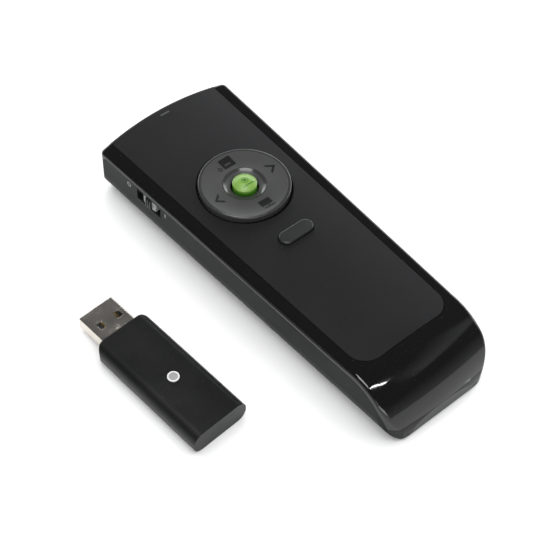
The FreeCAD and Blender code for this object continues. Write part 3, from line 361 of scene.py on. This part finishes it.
chip = new_finish("chip_black", (0.014, 0.014, 0.015), 0.5, 0.6, grain_scale=5000.0, grain_depth=0.006,
                  tint=0.2)
for name in ("radio_chip", "receiver_chip", "link_switch", "usb_tongue"):
    dress(name, chip)
nylon = new_finish("white_nylon", (0.68, 0.67, 0.62), 0.4, 0.5, grain_scale=2500.0, grain_depth=0.004,
                   tint=0.06)
dress("disc_rocker_ring", nylon)
dress("laser_plunger", nylon)

# %% [markdown]
# ## Tactile switches
#
# Each tactile switch is a black moulded base under a metal plate and button. One material does both, with a
# mask at the height where the base ends.
# %% Switches with a black base
BASE_TALL = 1.5
switches = new_finish("tact_switch", (0.6, 0.6, 0.58), 0.3, 0.4, metal=0.6, grain_scale=4000.0,
                      grain_depth=0.003, tint=0.1)
tree = switches[1]
switch_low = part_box("key_switches")[0][2]
base_top = switch_low + BASE_TALL * MM
moulding = reshaped(tree, object_axis(tree, "Z"), base_top, base_top + 0.05 * MM, 1.0, 0.0)
switches = paint(switches, moulding, (0.02, 0.02, 0.02))
dress("key_switches", switches)

# %% [markdown]
# ## Circuit boards
#
# A circuit board's tracks run in straight lines under the green mask. A brick pattern with wide mortar, on
# Object coordinates, reads as tracks, and a second green shows where copper lies under the mask.
# %% Boards
TRACKS_PER_METRE, TRACK_WIDE = 330.0, 0.06
board = new_finish("board_green", (0.012, 0.11, 0.045), 0.28, 0.36, grain_scale=1800.0, grain_depth=0.002,
                   tint=0.2)
tree = board[1]
tracks = tree.nodes.new("ShaderNodeTexBrick")
tracks.inputs["Scale"].default_value = TRACKS_PER_METRE
tracks.inputs["Mortar Size"].default_value = TRACK_WIDE
tracks.inputs["Color1"].default_value = (0, 0, 0, 1)
tracks.inputs["Color2"].default_value = (0, 0, 0, 1)
tracks.inputs["Mortar"].default_value = (1, 1, 1, 1)
tree.links.new(tree.nodes.new("ShaderNodeTexCoord").outputs["Object"], tracks.inputs["Vector"])
board = paint(board, tracks.outputs["Color"], (0.03, 0.2, 0.06))
for name in ("main_pcb", "receiver_pcb", "laser_driver_board"):
    dress(name, board)

# %% [markdown]
# ## The cells
#
# Each cell has a printed sleeve: a dark blue body with a gold band towards its plus end. The bare steel
# shows at both ends, so there the colour and the metal both change.
# %% Cells with a gold band and bare ends
GOLD_FROM, NUB, BARE_FOOT = 12.0, 1.45, 0.5
cells = new_finish("cell_wrap", (0.035, 0.05, 0.075), 0.28, 0.36, grain_scale=1200.0, grain_depth=0.002,
                   tint=0.15)
cell_low, cell_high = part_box("battery_a")
minus_end, plus_end = cell_low[1], cell_high[1]
tree = cells[1]
along = object_axis(tree, "Y")
gold_band = reshaped(tree, along, plus_end - GOLD_FROM * MM, plus_end - (GOLD_FROM - 0.1) * MM, 0.0, 1.0)
cells = paint(cells, gold_band, (0.42, 0.3, 0.12))
nub = reshaped(tree, along, plus_end - NUB * MM, plus_end - (NUB - 0.05) * MM, 0.0, 1.0)
bare_foot = reshaped(tree, along, minus_end + BARE_FOOT * MM, minus_end + (BARE_FOOT + 0.05) * MM, 1.0, 0.0)
bare = worked(tree, "MAXIMUM", nub, bare_foot)
cells = paint(cells, bare, (0.6, 0.6, 0.58))
tree.links.new(bare, cells[2].inputs["Metallic"])
dress("battery_a", cells)
dress("battery_b", cells)


# %% [markdown]
# ## Clear pieces and inks
#
# The light pipe, the laser window, the lens and the lamps are clear plastics with different tints, and only
# some of the light goes through them. The inks are thin films: dark on the disc, pale on the side wall, and
# deep green on the cap.
# %% Clear plastics, link button and inks
def new_clear(name, colour, rough, through):
    """tinted clear plastic with faint mould swirl in its roughness"""
    finish = new_finish(name, colour, rough, rough + 0.08, grain_scale=1500.0, grain_depth=0.001, tint=0.05)
    finish[2].inputs["Transmission Weight"].default_value = through
    finish[2].inputs["IOR"].default_value = 1.49
    return finish


dress("status_light_pipe", new_clear("clear_pipe", (0.045, 0.046, 0.047), 0.35, 0.1))
dress("laser_window", new_clear("window_dark", (0.22, 0.012, 0.012), 0.05, 0.75))
dress("laser_lens", new_clear("lens_clear", (0.92, 0.95, 0.97), 0.03, 0.95))
lamp = new_clear("lamp_clear", (0.85, 0.86, 0.74), 0.25, 0.3)
dress("status_led", lamp)
dress("receiver_led", lamp)
link = new_finish("link_white", (0.24, 0.24, 0.24), 0.35, 0.42, grain_scale=3000.0, grain_depth=0.002,
                  tint=0.08, tint_scale=300.0)
dress("link_button", link)
rim_white = new_finish("rim_white", (0.6, 0.6, 0.59), 0.2, 0.3, grain_scale=3000.0, grain_depth=0.001,
                       tint=0.04)
ink_dark = new_finish("ink_dark", (0.0045, 0.0046, 0.005), 0.36, 0.44, grain_scale=5000.0,
                      grain_depth=0.002, tint=0.2, shine=0.2)
ink_pale = new_finish("ink_pale", (0.2, 0.205, 0.2), 0.4, 0.5, grain_scale=5000.0, grain_depth=0.002,
                      tint=0.1)
ink_green = new_finish("ink_green", (0.008, 0.06, 0.006), 0.35, 0.45, grain_scale=5000.0, grain_depth=0.002,
                       tint=0.2)
print("materials:", len(bpy.data.materials))


# %% [markdown]
# ## Tools for picking and finishing
#
# Modelling by operator works on whatever is selected, so each step first lets go of everything. These
# helpers do what a hand does in the viewport: pick up one object, pick faces or edges by where they are,
# and settle a finished piece so that its place is in its mesh and its object sits at the origin.
# %% Picking, editing and settling
def let_go():
    bpy.ops.object.select_all(action="DESELECT")


def take(piece):
    """select one object and make it active"""
    let_go()
    piece.select_set(True)
    bpy.context.view_layer.objects.active = piece


def pick(piece, kind, test):
    """in edit mode, select the verts, edges or faces that pass a test on their place, in millimetres"""
    bpy.ops.object.mode_set(mode="OBJECT")
    bpy.context.scene.tool_settings.mesh_select_mode = (kind == "VERT", kind == "EDGE", kind == "FACE")
    mesh = piece.data
    for item in (*mesh.vertices, *mesh.edges, *mesh.polygons):
        item.select = False
    for item in {"VERT": mesh.vertices, "EDGE": mesh.edges, "FACE": mesh.polygons}[kind]:
        if kind == "EDGE":
            a, b = (piece.matrix_world @ mesh.vertices[i].co / MM for i in item.vertices)
            item.select = bool(test(a, b))
        else:
            middle = item.center if kind == "FACE" else item.co
            item.select = bool(test(piece.matrix_world @ middle / MM, item.normal))
    bpy.ops.object.mode_set(mode="EDIT")


def edit(piece, *steps):
    """select all of one piece in edit mode, run each step, and leave edit mode"""
    take(piece)
    bpy.ops.object.mode_set(mode="EDIT")
    bpy.ops.mesh.select_all(action="SELECT")
    for step in steps:
        step()
    bpy.ops.object.mode_set(mode="OBJECT")


def add_modifier(piece, kind, **settings):
    """add one modifier, set it and apply it"""
    take(piece)
    modifier = piece.modifiers.new(kind.lower(), kind)
    for key_name, value in settings.items():
        setattr(modifier, key_name, value)
    bpy.ops.object.modifier_apply(modifier=modifier.name)


def settle(piece, name, finish, body, slot):
    """name a finished piece, put its place in its mesh, and let it ride on a body"""
    take(piece)
    bpy.ops.object.transform_apply(location=True, rotation=True, scale=True)
    bpy.ops.object.shade_smooth_by_angle(angle=math.radians(30))
    piece.name = name
    piece.data.name = name
    piece.data.materials.clear()
    piece.data.materials.append(finish[0])
    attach(piece, body)
    print(f"{name}: {len(piece.data.polygons)} faces, rides on {body}")


print("modelling tools:", [tool.__name__ for tool in (take, pick, edit, add_modifier, settle)])


# %% [markdown]
# ## Printed marks on the disc
#
# Four marks are printed on the disc: an arrow head to each side, a screen at the far side and a blanked
# screen at the near one. Each starts as a flat shape, is divided so that it can bend, dropped onto the
# dished face with Shrinkwrap, and given a film's thickness with Solidify. A real film follows its surface
# in the same way, and a texture would need a picture.
# %% Flat shapes, and laying them on a solid
OVER = 23.0


def flat_plane(width, depth, x, y, turn=0.0):
    """plane over the disc at its size and place, in millimetres"""
    let_go()
    bpy.ops.mesh.primitive_plane_add(size=1, location=(x * MM, y * MM, OVER * MM),
                                     rotation=(0, 0, math.radians(turn)))
    piece = bpy.context.object
    piece.scale = (width * MM, depth * MM, 1)
    bpy.ops.object.transform_apply(location=False, rotation=False, scale=True)
    return piece


def open_up(piece, width):
    """cut the middle out of a flat shape, so that a frame of this width stays"""
    edit(piece, lambda: bpy.ops.mesh.inset(thickness=width * MM), lambda: bpy.ops.mesh.delete(type="FACE"))


def flat_disc(radius, sides, place, tilt=0.0):
    """flat disc at its size and place, in millimetres"""
    let_go()
    bpy.ops.mesh.primitive_circle_add(vertices=sides, radius=radius * MM, fill_type="NGON",
                                      location=[v * MM for v in place],
                                      rotation=(0, math.radians(tilt), 0))
    return bpy.context.object


def lay_on(piece, node, axis="Z", cuts=3, film=0.05):
    """divide a flat mark, drop it onto a solid along an axis, and give it a film's thickness"""
    take(piece)
    bpy.ops.object.transform_apply(location=True, rotation=True, scale=True)
    if cuts:
        edit(piece, lambda: bpy.ops.mesh.subdivide(number_cuts=cuts))
    down = axis == "Z"
    add_modifier(piece, "SHRINKWRAP", target=nodes[node], wrap_method="PROJECT", use_project_z=down,
                 use_project_x=not down, use_negative_direction=down, use_positive_direction=not down)
    add_modifier(piece, "SOLIDIFY", thickness=film * MM, offset=0.0)


print("marks start", OVER, "mm up, over the disc")


# %% [markdown]
# An arrow head is two mitred strokes. A square frame with two of its sides deleted leaves just that, with a
# clean mitre at the corner, and turning it by 45 degrees makes it point sideways.
# %% Arrow heads
def arrow_head(x, y, deep, tall, width, side):
    """half a square frame, turned onto its corner and drawn out to its depth and height"""
    square = 3.0
    piece = flat_plane(square, square, 0, 0)
    piece.location = (0, 0, 0)
    open_up(piece, width)
    reach = square / 2 - width
    pick(piece, "FACE", lambda p, n: p.x > reach or p.y < -reach)
    bpy.ops.mesh.delete(type="FACE")
    bpy.ops.object.mode_set(mode="OBJECT")
    piece.rotation_euler = (0, 0, math.radians(45 if side < 0 else 225))
    bpy.ops.object.transform_apply(location=False, rotation=True, scale=False)
    corner = square / math.sqrt(2)
    piece.scale = (deep / corner, tall / 2 / corner, 1)
    piece.location = ((x - side * deep) * MM, y * MM, OVER * MM)
    return piece


for name, x, y, side in (("mark_back", -11.5, -0.25, -1), ("mark_forward", 11.8, 0.05, 1)):
    head = arrow_head(x, DISC_Y + y, 2.6, 4.2, 0.62, side)
    lay_on(head, "nav_disc")
    settle(head, name, ink_dark, "disc", "disc_grey")

# %% [markdown]
# The screen is a plate with a window in it and a small ring at one corner. The plate is subdivided first,
# so that its window can be deleted as whole faces and its corners bevelled, and the grid bends with the
# disc.
# %% Screen and its ring
SCREEN_WIDE, SCREEN_DEEP, SCREEN_X, SCREEN_Y = 4.2, 3.9, 1.2, DISC_Y + 9.9
WINDOW_X, WINDOW_Y, WINDOW_HALF_WIDE, WINDOW_HALF_DEEP = 1.0, DISC_Y + 9.3, 0.95, 0.35
screen = flat_plane(SCREEN_WIDE, SCREEN_DEEP, SCREEN_X, SCREEN_Y)
edit(screen, lambda: bpy.ops.mesh.subdivide(number_cuts=13))
pick(screen, "FACE", lambda p, n: abs(p.x - WINDOW_X) < WINDOW_HALF_WIDE
     and abs(p.y - WINDOW_Y) < WINDOW_HALF_DEEP)
bpy.ops.mesh.delete(type="FACE")
pick(screen, "VERT", lambda p, n: abs(p.x - SCREEN_X) > SCREEN_WIDE / 2 - 0.01
     and abs(p.y - SCREEN_Y) > SCREEN_DEEP / 2 - 0.01)
bpy.ops.mesh.bevel(offset=0.26 * MM, segments=3, affect="VERTICES")
bpy.ops.object.mode_set(mode="OBJECT")
lay_on(screen, "nav_disc", cuts=0)
settle(screen, "mark_screen", ink_dark, "disc", "disc_grey")

foot = flat_disc(0.7, 24, (-2.1, DISC_Y + 8.9, OVER))
open_up(foot, 0.3)
foot.scale = (0.9, 1.1, 1)
lay_on(foot, "nav_disc", cuts=1)
settle(foot, "mark_screen_foot", ink_dark, "disc", "disc_grey")


# %% [markdown]
# The blanked screen is a solid rectangle over a bar, joined by a short stem. It has no window, so plain
# planes are enough, joined into one mark before it is laid on the disc.
# %% Blanked screen
def join(pieces):
    """make one piece of several"""
    take(pieces[0])
    for piece in pieces[1:]:
        piece.select_set(True)
    bpy.ops.object.join()
    return bpy.context.object


BLANK_TURN = -2
blank = join([flat_plane(3.9, 2.4, 0.1, DISC_Y - 9.45, BLANK_TURN),
              flat_plane(3.8, 0.42, 0.3, DISC_Y - 11.5, BLANK_TURN),
              flat_plane(0.45, 0.4, 0.3, DISC_Y - 11.05, BLANK_TURN)])
lay_on(blank, "nav_disc", cuts=4)
settle(blank, "mark_blank", ink_dark, "disc", "disc_grey")

# %% [markdown]
# ## The beam mark on the laser cap
#
# A plain sign for a beam of light is printed on the cap: a spot with short rays round it and one long ray.
# Each ray is a thin plane at its own angle, and all are joined before they are laid on the dome.
# %% Spot and rays
RAYS, RAY_LONG, RAY_WIDE, RAY_FROM = 10, 0.62, 0.2, 0.62
rays = [flat_disc(0.42, 20, (0.0, DISC_Y, OVER))]
reach = RAY_FROM + RAY_LONG / 2
for index in range(RAYS):
    turn = math.radians((index + 0.5) * 360 / RAYS)
    rays.append(flat_plane(RAY_LONG, RAY_WIDE, reach * math.cos(turn), DISC_Y + reach * math.sin(turn),
                           math.degrees(turn)))
rays.append(flat_plane(3.9, 0.3, 0.1, DISC_Y - 1.75))
beam = join(rays)
lay_on(beam, "laser_button", cuts=3, film=0.04)
settle(beam, "mark_beam", ink_green, "laser_key", "laser_green")

# %% [markdown]
# ## The slide switch
#
# Two marks are printed beside the slot in pale ink: an open ring for off and a stroke for on. They start as
# flat shapes that stand upright beside the wall, and are laid on it along X, since the wall leans with the
# case's taper.
# %% Marks beside the slot
MARK_X, MARK_Z = -27, 14.6
off = flat_disc(0.85, 24, (MARK_X, 48.2, MARK_Z), 90)
open_up(off, 0.3)
let_go()
bpy.ops.mesh.primitive_plane_add(size=1.6 * MM, location=(MARK_X * MM, 31.2 * MM, MARK_Z * MM),
                                 rotation=(0, math.radians(90), 0))
on = bpy.context.object
edit(on, lambda: bpy.ops.transform.resize(value=(1, 0.26, 1)))
for mark, name in ((off, "mark_off"), (on, "mark_on")):
    lay_on(mark, "bottom_shell", axis="X", cuts=1, film=0.05)
    settle(mark, name, ink_pale, "housing", "shell_satin")


# %% [markdown]
# The slide is a ribbed grip on a long flange that keeps the slot closed behind it. One rib is modelled and
# copied along the slot. The parts are made straight and then turned to the wall, whose place and lean
# follow from the case's two widths and its length.
# %% Blocks, bevels and copies
def block(wide, long, tall, x, y, z):
    """cube at its size and place, in millimetres"""
    let_go()
    bpy.ops.mesh.primitive_cube_add(size=1, location=(x * MM, y * MM, z * MM))
    piece = bpy.context.object
    piece.scale = (wide * MM, long * MM, tall * MM)
    bpy.ops.object.transform_apply(location=True, rotation=False, scale=True)
    return piece


def rounded(piece, width, steps, test):
    """bevel the edges that pass a test, widths in millimetres"""
    take(piece)
    pick(piece, "EDGE", test)
    bpy.ops.mesh.bevel(offset=width * MM, segments=steps, profile=0.5)
    bpy.ops.object.mode_set(mode="OBJECT")
    return piece


def copied(piece):
    """a copy with its own mesh"""
    let_go()
    twin = piece.copy()
    twin.data = piece.data.copy()
    bpy.context.collection.objects.link(twin)
    return twin


FAR_WIDTH, NEAR_WIDTH, LENGTH = 48.8, 39.5, 128.8
SWITCH_Y, SWITCH_Z = 38.9, 13.8
taper = math.atan((FAR_WIDTH - NEAR_WIDTH) / 2 / LENGTH)
wall_x = -(NEAR_WIDTH / 2 + math.tan(taper) * (SWITCH_Y + LENGTH / 2))
on_wall = Matrix.Translation(Vector((wall_x, SWITCH_Y, SWITCH_Z)) * MM) @ Matrix.Rotation(taper, 4, "Z")
print("left wall at the switch:", round(wall_x, 2), "mm, leaning", round(math.degrees(taper), 2), "degrees")

# %% [markdown]
# The rib's outer edges are bevelled, so that each rib catches a line of light. The flange is longer than
# the slot by the slide's travel, so that no gap opens at either end.
# %% Grip and flange of the slide
RIB_PITCH = 0.9
rib = rounded(block(1.0, 0.52, 3.5, 0.02, -RIB_PITCH, 0), 0.2, 3, lambda a, b: a.x < -0.4 and b.x < -0.4)
ribs = [rib]
for step in (1, 2):
    twin = copied(rib)
    twin.location.y = step * RIB_PITCH * MM
    ribs.append(twin)
core = rounded(block(1.9, 2.7, 3.5, 1.05, 0, 0), 0.12, 2, lambda a, b: a.x < 0.2 and b.x < 0.2)
flange = rounded(block(0.6, 16.8, 5.0, 2.2, 0, 0), 0.15, 2, lambda a, b: abs(a.x - b.x) > 0.3)
knob = join([core, flange] + ribs)
knob.matrix_world = on_wall @ knob.matrix_world
settle(knob, "power_slide_grip", key, "power_slider", "key_grey")
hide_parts("power_switch_knob")

# %% [markdown]
# On each side of the grip is a pale pad that slopes down to a strip on the flange. The slope is made by
# moving the outer edge of the pad's face inwards.
# %% Pads and strips of the slide
for name, side in (("pad_far", 1), ("pad_near", -1)):
    pad = block(1.7, 1.55, 3.5, 1.0, side * 2.12, 0)
    pick(pad, "EDGE", lambda a, b: a.x < 0.3 and b.x < 0.3 and side * a.y > 2.5 and side * b.y > 2.5)
    bpy.ops.transform.translate(value=(0.25 * MM, 0, 0))
    bpy.ops.object.mode_set(mode="OBJECT")
    rounded(pad, 0.08, 2, lambda a, b: a.x < 0.3 and b.x < 0.3)
    strip = rounded(block(0.06, 2.6, 3.4, 1.87, side * 4.2, 0), 0.02, 1,
                    lambda a, b: a.x < 1.86 and b.x < 1.86)
    pad = join([pad, strip])
    pad.matrix_world = on_wall
    settle(pad, name, ink_pale, "power_slider", "key_grey")


# %% [markdown]
# ## The receiver
#
# The receiver lies beside the handset, turned a little. Each of its pieces is made beside the origin, where
# faces and edges are easy to pick, and then turned and moved to its place. Beside a rounded edge a big flat
# face would shade like a pillow, so Weighted Normal lets the flat faces keep their own direction.
# %% Placing on the receiver
RECEIVER = Matrix.Translation(Vector((-54.9, 10.9, 0)) * MM) @ Matrix.Rotation(math.radians(3.5), 4, "Z")
STICK_WIDE, STICK_LONG, STICK_TALL, LINK_Y = 19.0, 42.0, 7.5, -22.8


def on_receiver(piece):
    """put a piece that was made beside the origin where the receiver lies"""
    take(piece)
    bpy.ops.object.transform_apply(location=True, rotation=True, scale=True)
    piece.matrix_world = RECEIVER


def lies_along(a, b):
    """an edge that runs along Y"""
    return abs(a.y - b.y) > 5 and abs(a.x - b.x) < 0.1 and abs(a.z - b.z) < 0.1


def even_shade(piece):
    """let the big flat faces keep flat normals beside the rounded edges"""
    add_modifier(piece, "WEIGHTED_NORMAL", keep_sharp=True)


print("receiver stands", [round(v / MM, 1) for v in RECEIVER.translation], "mm from the handset's middle")


# %% [markdown]
# The case is a bar whose long edges are well rounded and whose plug-end corners are rounded in plan, so it
# is the overlap of two bevelled blocks. It is hollowed, the plug's mouth and the button's hole are cut, and
# it is parted at half height with bisect, which also closes the cut.
# %% The two halves of the case
def cut_with(piece, tool, operation="DIFFERENCE"):
    """cut one piece with another, and throw the cutter away"""
    add_modifier(piece, "BOOLEAN", object=tool, operation=operation, solver="EXACT")
    bpy.data.objects.remove(tool, do_unlink=True)


stick_mid_y = -STICK_LONG / 2
case = rounded(block(STICK_WIDE, STICK_LONG, STICK_TALL, 0, stick_mid_y, STICK_MIDDLE), 3.3, 10, lies_along)
plan = rounded(block(STICK_WIDE, STICK_LONG + 1, 9.0, 0, -(STICK_LONG + 1) / 2, STICK_MIDDLE), 3.0, 10,
               lambda a, b: abs(a.z - b.z) > 5 and a.y > -1)
cut_with(case, plan, "INTERSECT")
room_inside = block(STICK_WIDE - 2.2, STICK_LONG - 2.2, STICK_TALL - 2.2, 0, stick_mid_y, STICK_MIDDLE)
cut_with(case, rounded(room_inside, 2.2, 8, lies_along))
cut_with(case, block(12.1, 6.5, 4.6, 0, -2.25, STICK_MIDDLE))
let_go()
bpy.ops.mesh.primitive_cylinder_add(vertices=64, radius=1.9 * MM, depth=6 * MM,
                                    location=(0, LINK_Y * MM, 7.2 * MM))
cut_with(case, bpy.context.object)
for half, name, node, upper in ((copied(case), "stick_bottom_half", "receiver_bottom_shell", False),
                                (case, "stick_top_half", "receiver_top_shell", True)):
    edit(half, lambda: bpy.ops.mesh.bisect(plane_co=(0, 0, STICK_MIDDLE * MM), plane_no=(0, 0, 1),
                                           use_fill=True, clear_inner=upper, clear_outer=not upper))
    on_receiver(half)
    settle(half, name, stick, "receiver", "shell_satin")
    even_shade(half)
    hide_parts(node)

# %% [markdown]
# The plug is folded sheet, with two square holes through each face and slightly broken edges that catch the
# light. A bevelled block cut by a smaller one gives the sheet's even thickness.
# %% The plug's folded shell
PLUG_WIDE, PLUG_TALL, PLUG_IN, PLUG_OUT, SHEET, HOLE_Y = 12.0, 4.5, -5.5, 11.4, 0.3, 5.2
plug_middle, plug_long = (PLUG_IN + PLUG_OUT) / 2, PLUG_OUT - PLUG_IN
plug = rounded(block(PLUG_WIDE, plug_long, PLUG_TALL, 0, plug_middle, STICK_MIDDLE), 0.6, 6, lies_along)
inner = block(PLUG_WIDE - 2 * SHEET, plug_long + 1, PLUG_TALL - 2 * SHEET, 0, plug_middle, STICK_MIDDLE)
cut_with(plug, rounded(inner, 0.3, 4, lies_along))
for x in (-2.8, 3.3):
    cut_with(plug, rounded(block(1.9, 2.4, 6.0, x, HOLE_Y, STICK_MIDDLE), 0.15, 2,
                           lambda a, b: abs(a.z - b.z) > 3))
add_modifier(plug, "BEVEL", width=0.09 * MM, segments=2, limit_method="ANGLE", angle_limit=math.radians(40))
on_receiver(plug)
settle(plug, "plug_shell", nickel, "receiver", "plug_nickel")
even_shade(plug)
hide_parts("usb_plug_shell")

# %% [markdown]
# A small dimple is stamped into the sheet near the plug's root, on both faces. One is modelled with an
# inset face pushed in, and its copy is mirrored about half height and has its normals recalculated.
# %% Dimples near the plug's root
dimple = block(1.5, 1.1, 0.24, 0.3, 1.9, 6.0)
pick(dimple, "FACE", lambda p, n: n.z > 0.9)
bpy.ops.mesh.inset(thickness=0.3 * MM, depth=0.0)
bpy.ops.transform.translate(value=(0, 0, -0.16 * MM))
bpy.ops.object.mode_set(mode="OBJECT")
add_modifier(dimple, "BEVEL", width=0.06 * MM, segments=2)
on_receiver(dimple)
settle(dimple, "plug_dimple_top", nickel, "receiver", "plug_nickel")
under = copied(dimple)
edit(under, lambda: bpy.ops.transform.mirror(constraint_axis=(False, False, True),
                                             center_override=(0, 0, STICK_MIDDLE * MM)),
     lambda: bpy.ops.mesh.normals_make_consistent(inside=False))
settle(under, "plug_dimple_under", nickel, "receiver", "plug_nickel")

# %% [markdown]
# The link button has a thin raised rim that is brighter than its middle. It is a ring cut from a flat disc,
# extruded upwards and bevelled.
# %% Rim of the link button
rim = flat_disc(1.74, 48, (0, LINK_Y, 7.7))
open_up(rim, 0.42)
edit(rim, lambda: bpy.ops.mesh.extrude_region_move(TRANSFORM_OT_translate={"value": (0, 0, 0.12 * MM)}))
edit(rim, lambda: bpy.ops.mesh.normals_make_consistent(inside=False))
add_modifier(rim, "BEVEL", width=0.05 * MM, segments=2)
on_receiver(rim)
settle(rim, "link_rim", rim_white, "link_key", "link_white")

# %% [markdown]
# ## The table
#
# The pair stands on a seamless pale table, with almost no gloss. It is one large plane, and it isn't part
# of the object.
# %% Table
bpy.ops.object.select_all(action="DESELECT")
bpy.ops.mesh.primitive_plane_add(size=6, location=(0, 0, -0.02 * MM))
table = bpy.context.object
table.name = "table"
white = new_finish("table_white", (0.86, 0.86, 0.86), 0.8, 0.85, tint=0.01, tint_scale=4.0, shine=0.1)
table.data.materials.append(white[0])
print("table at", round(table.location.z / MM, 3), "mm")


# %% [markdown]
# ## The lights
#
# A wide soft ceiling fills the diffuse light and leaves only a faint shadow beside the walls. What the
# gloss shows is a different thing, so the ceiling is hidden from reflections, and two panels are seen only
# in them: a soft one overhead for the sheen on the faces, and a narrow one that draws the glints on the
# near corner.
# %% Lights
def soft_box(name, direction, distance, size, size_y, power):
    """rectangular light in a direction from the object, aimed at it"""
    let_go()
    bpy.ops.object.light_add(type="AREA", location=Vector(direction).normalized() * distance)
    light = bpy.context.object
    light.name = name
    light.data.shape = "RECTANGLE"
    light.data.size = size
    light.data.size_y = size_y
    light.data.energy = power
    light.rotation_euler = (light.location - Vector((0, 0, 0.01))).to_track_quat("Z", "Y").to_euler()
    light.visible_camera = False
    print(f"{name}: {power} W, {size} x {size_y} m")
    return light


ceiling = soft_box("ceiling", (0.0, 0.0, 1.0), 1.0, 1.8, 1.8, 24.9)
ceiling.visible_glossy = False
overhead = soft_box("overhead", (-0.2, -0.1, 1.0), 0.8, 0.4, 0.4, 4.5)
overhead.visible_diffuse = False
glint = soft_box("glint_box", (0.21, -0.45, 0.88), 0.8, 0.015, 0.14, 0.35)
glint.visible_diffuse = False

# %% [markdown]
# ## The room that the gloss reflects
#
# The room is dark, with a pale glow at the table's edge. Three soft-edged patches of its wall are lit: a
# streak high to the near right, which the near roll reflects, a pale backdrop to the right and behind, for
# the right ridge and the plug, and a low patch to the near left, for the disc's near rim. Each is given by
# its heights and its bearings in degrees, where a bearing of 0 is +X and 90 is +Y.
# %% Room
world = bpy.data.worlds.new("dim_room")
bpy.context.scene.world = world
world.use_nodes = True
room = world.node_tree
way = room.nodes.new("ShaderNodeSeparateXYZ")
room.links.new(room.nodes.new("ShaderNodeTexCoord").outputs["Generated"], way.inputs["Vector"])
rise = way.outputs["Z"]
bearing = worked(room, "ARCTAN2", way.outputs["Y"], way.outputs["X"])
GLOW, GLOW_TOP, DARK, SEEN_ROOM = 0.6, 22, 0.08, 0.85


def sine(degrees):
    return math.sin(math.radians(degrees))


def lit_patch(bottom, top, left, right, level):
    """a patch of the room's wall, with each edge given as the two angles over which it fades"""
    heights = between(room, rise, *map(sine, (*bottom, *top)))
    bearings = between(room, bearing, *map(math.radians, (*left, *right)), level)
    return worked(room, "MULTIPLY", heights, bearings)


brightness = reshaped(room, rise, 0.0, sine(GLOW_TOP), GLOW, DARK)
for edges in (((36, 38), (42, 58), (-64, -56), (-24, -16), 0.5),
              ((4, 8), (22, 28), (-30, -15), (95, 115), 4.5),
              ((1, 4), (19, 25), (-152, -142), (-98, -86), 4.8)):
    brightness = worked(room, "ADD", brightness, lit_patch(*edges))
seen = room.nodes.new("ShaderNodeLightPath").outputs["Is Camera Ray"]
background = room.nodes["Background"]
background.inputs["Color"].default_value = (0.97, 0.985, 1.0, 1)
room.links.new(reshaped(room, seen, 0.0, 1.0, brightness, SEEN_ROOM), background.inputs["Strength"])
print("room nodes:", len(room.nodes))

# %% [markdown]
# ## The camera
#
# The camera looks down at 51 degrees from the near left, through a long lens, and is rolled a little. Its
# place and lens were fitted to the plug's known size and to both outlines.
# %% Camera
FOCAL_PIXELS, FRAME_PIXELS, SENSOR_MM = 1340.5363, 554, 36
AWAY, SHIFT_RIGHT, SHIFT_DOWN = 413.8007, 10.1719, 14.9691
bpy.ops.object.select_all(action="DESELECT")
bpy.ops.object.camera_add()
camera = bpy.context.object
camera.data.lens = FOCAL_PIXELS / FRAME_PIXELS * SENSOR_MM
camera.data.clip_start = 0.01
elevation, azimuth, roll = math.radians(51.434), math.radians(-42.3683), math.radians(2.62)
back = Vector((math.sin(azimuth) * math.cos(elevation), -math.cos(azimuth) * math.cos(elevation),
               math.sin(elevation)))
level = Vector((math.cos(azimuth), math.sin(azimuth), 0))
upright = back.cross(level)
right = math.cos(roll) * level + math.sin(roll) * upright
up = -math.sin(roll) * level + math.cos(roll) * upright
place = (back * AWAY + right * SHIFT_RIGHT - up * SHIFT_DOWN + Vector((0, DISC_Y, 0))) * MM
camera.matrix_world = Matrix.Translation(place) @ Matrix((right, up, back)).transposed().to_4x4()
bpy.context.scene.camera = camera
bpy.context.scene.view_settings.view_transform = "Standard"
print("camera at", [round(v / MM, 1) for v in place], "lens", round(camera.data.lens, 2))
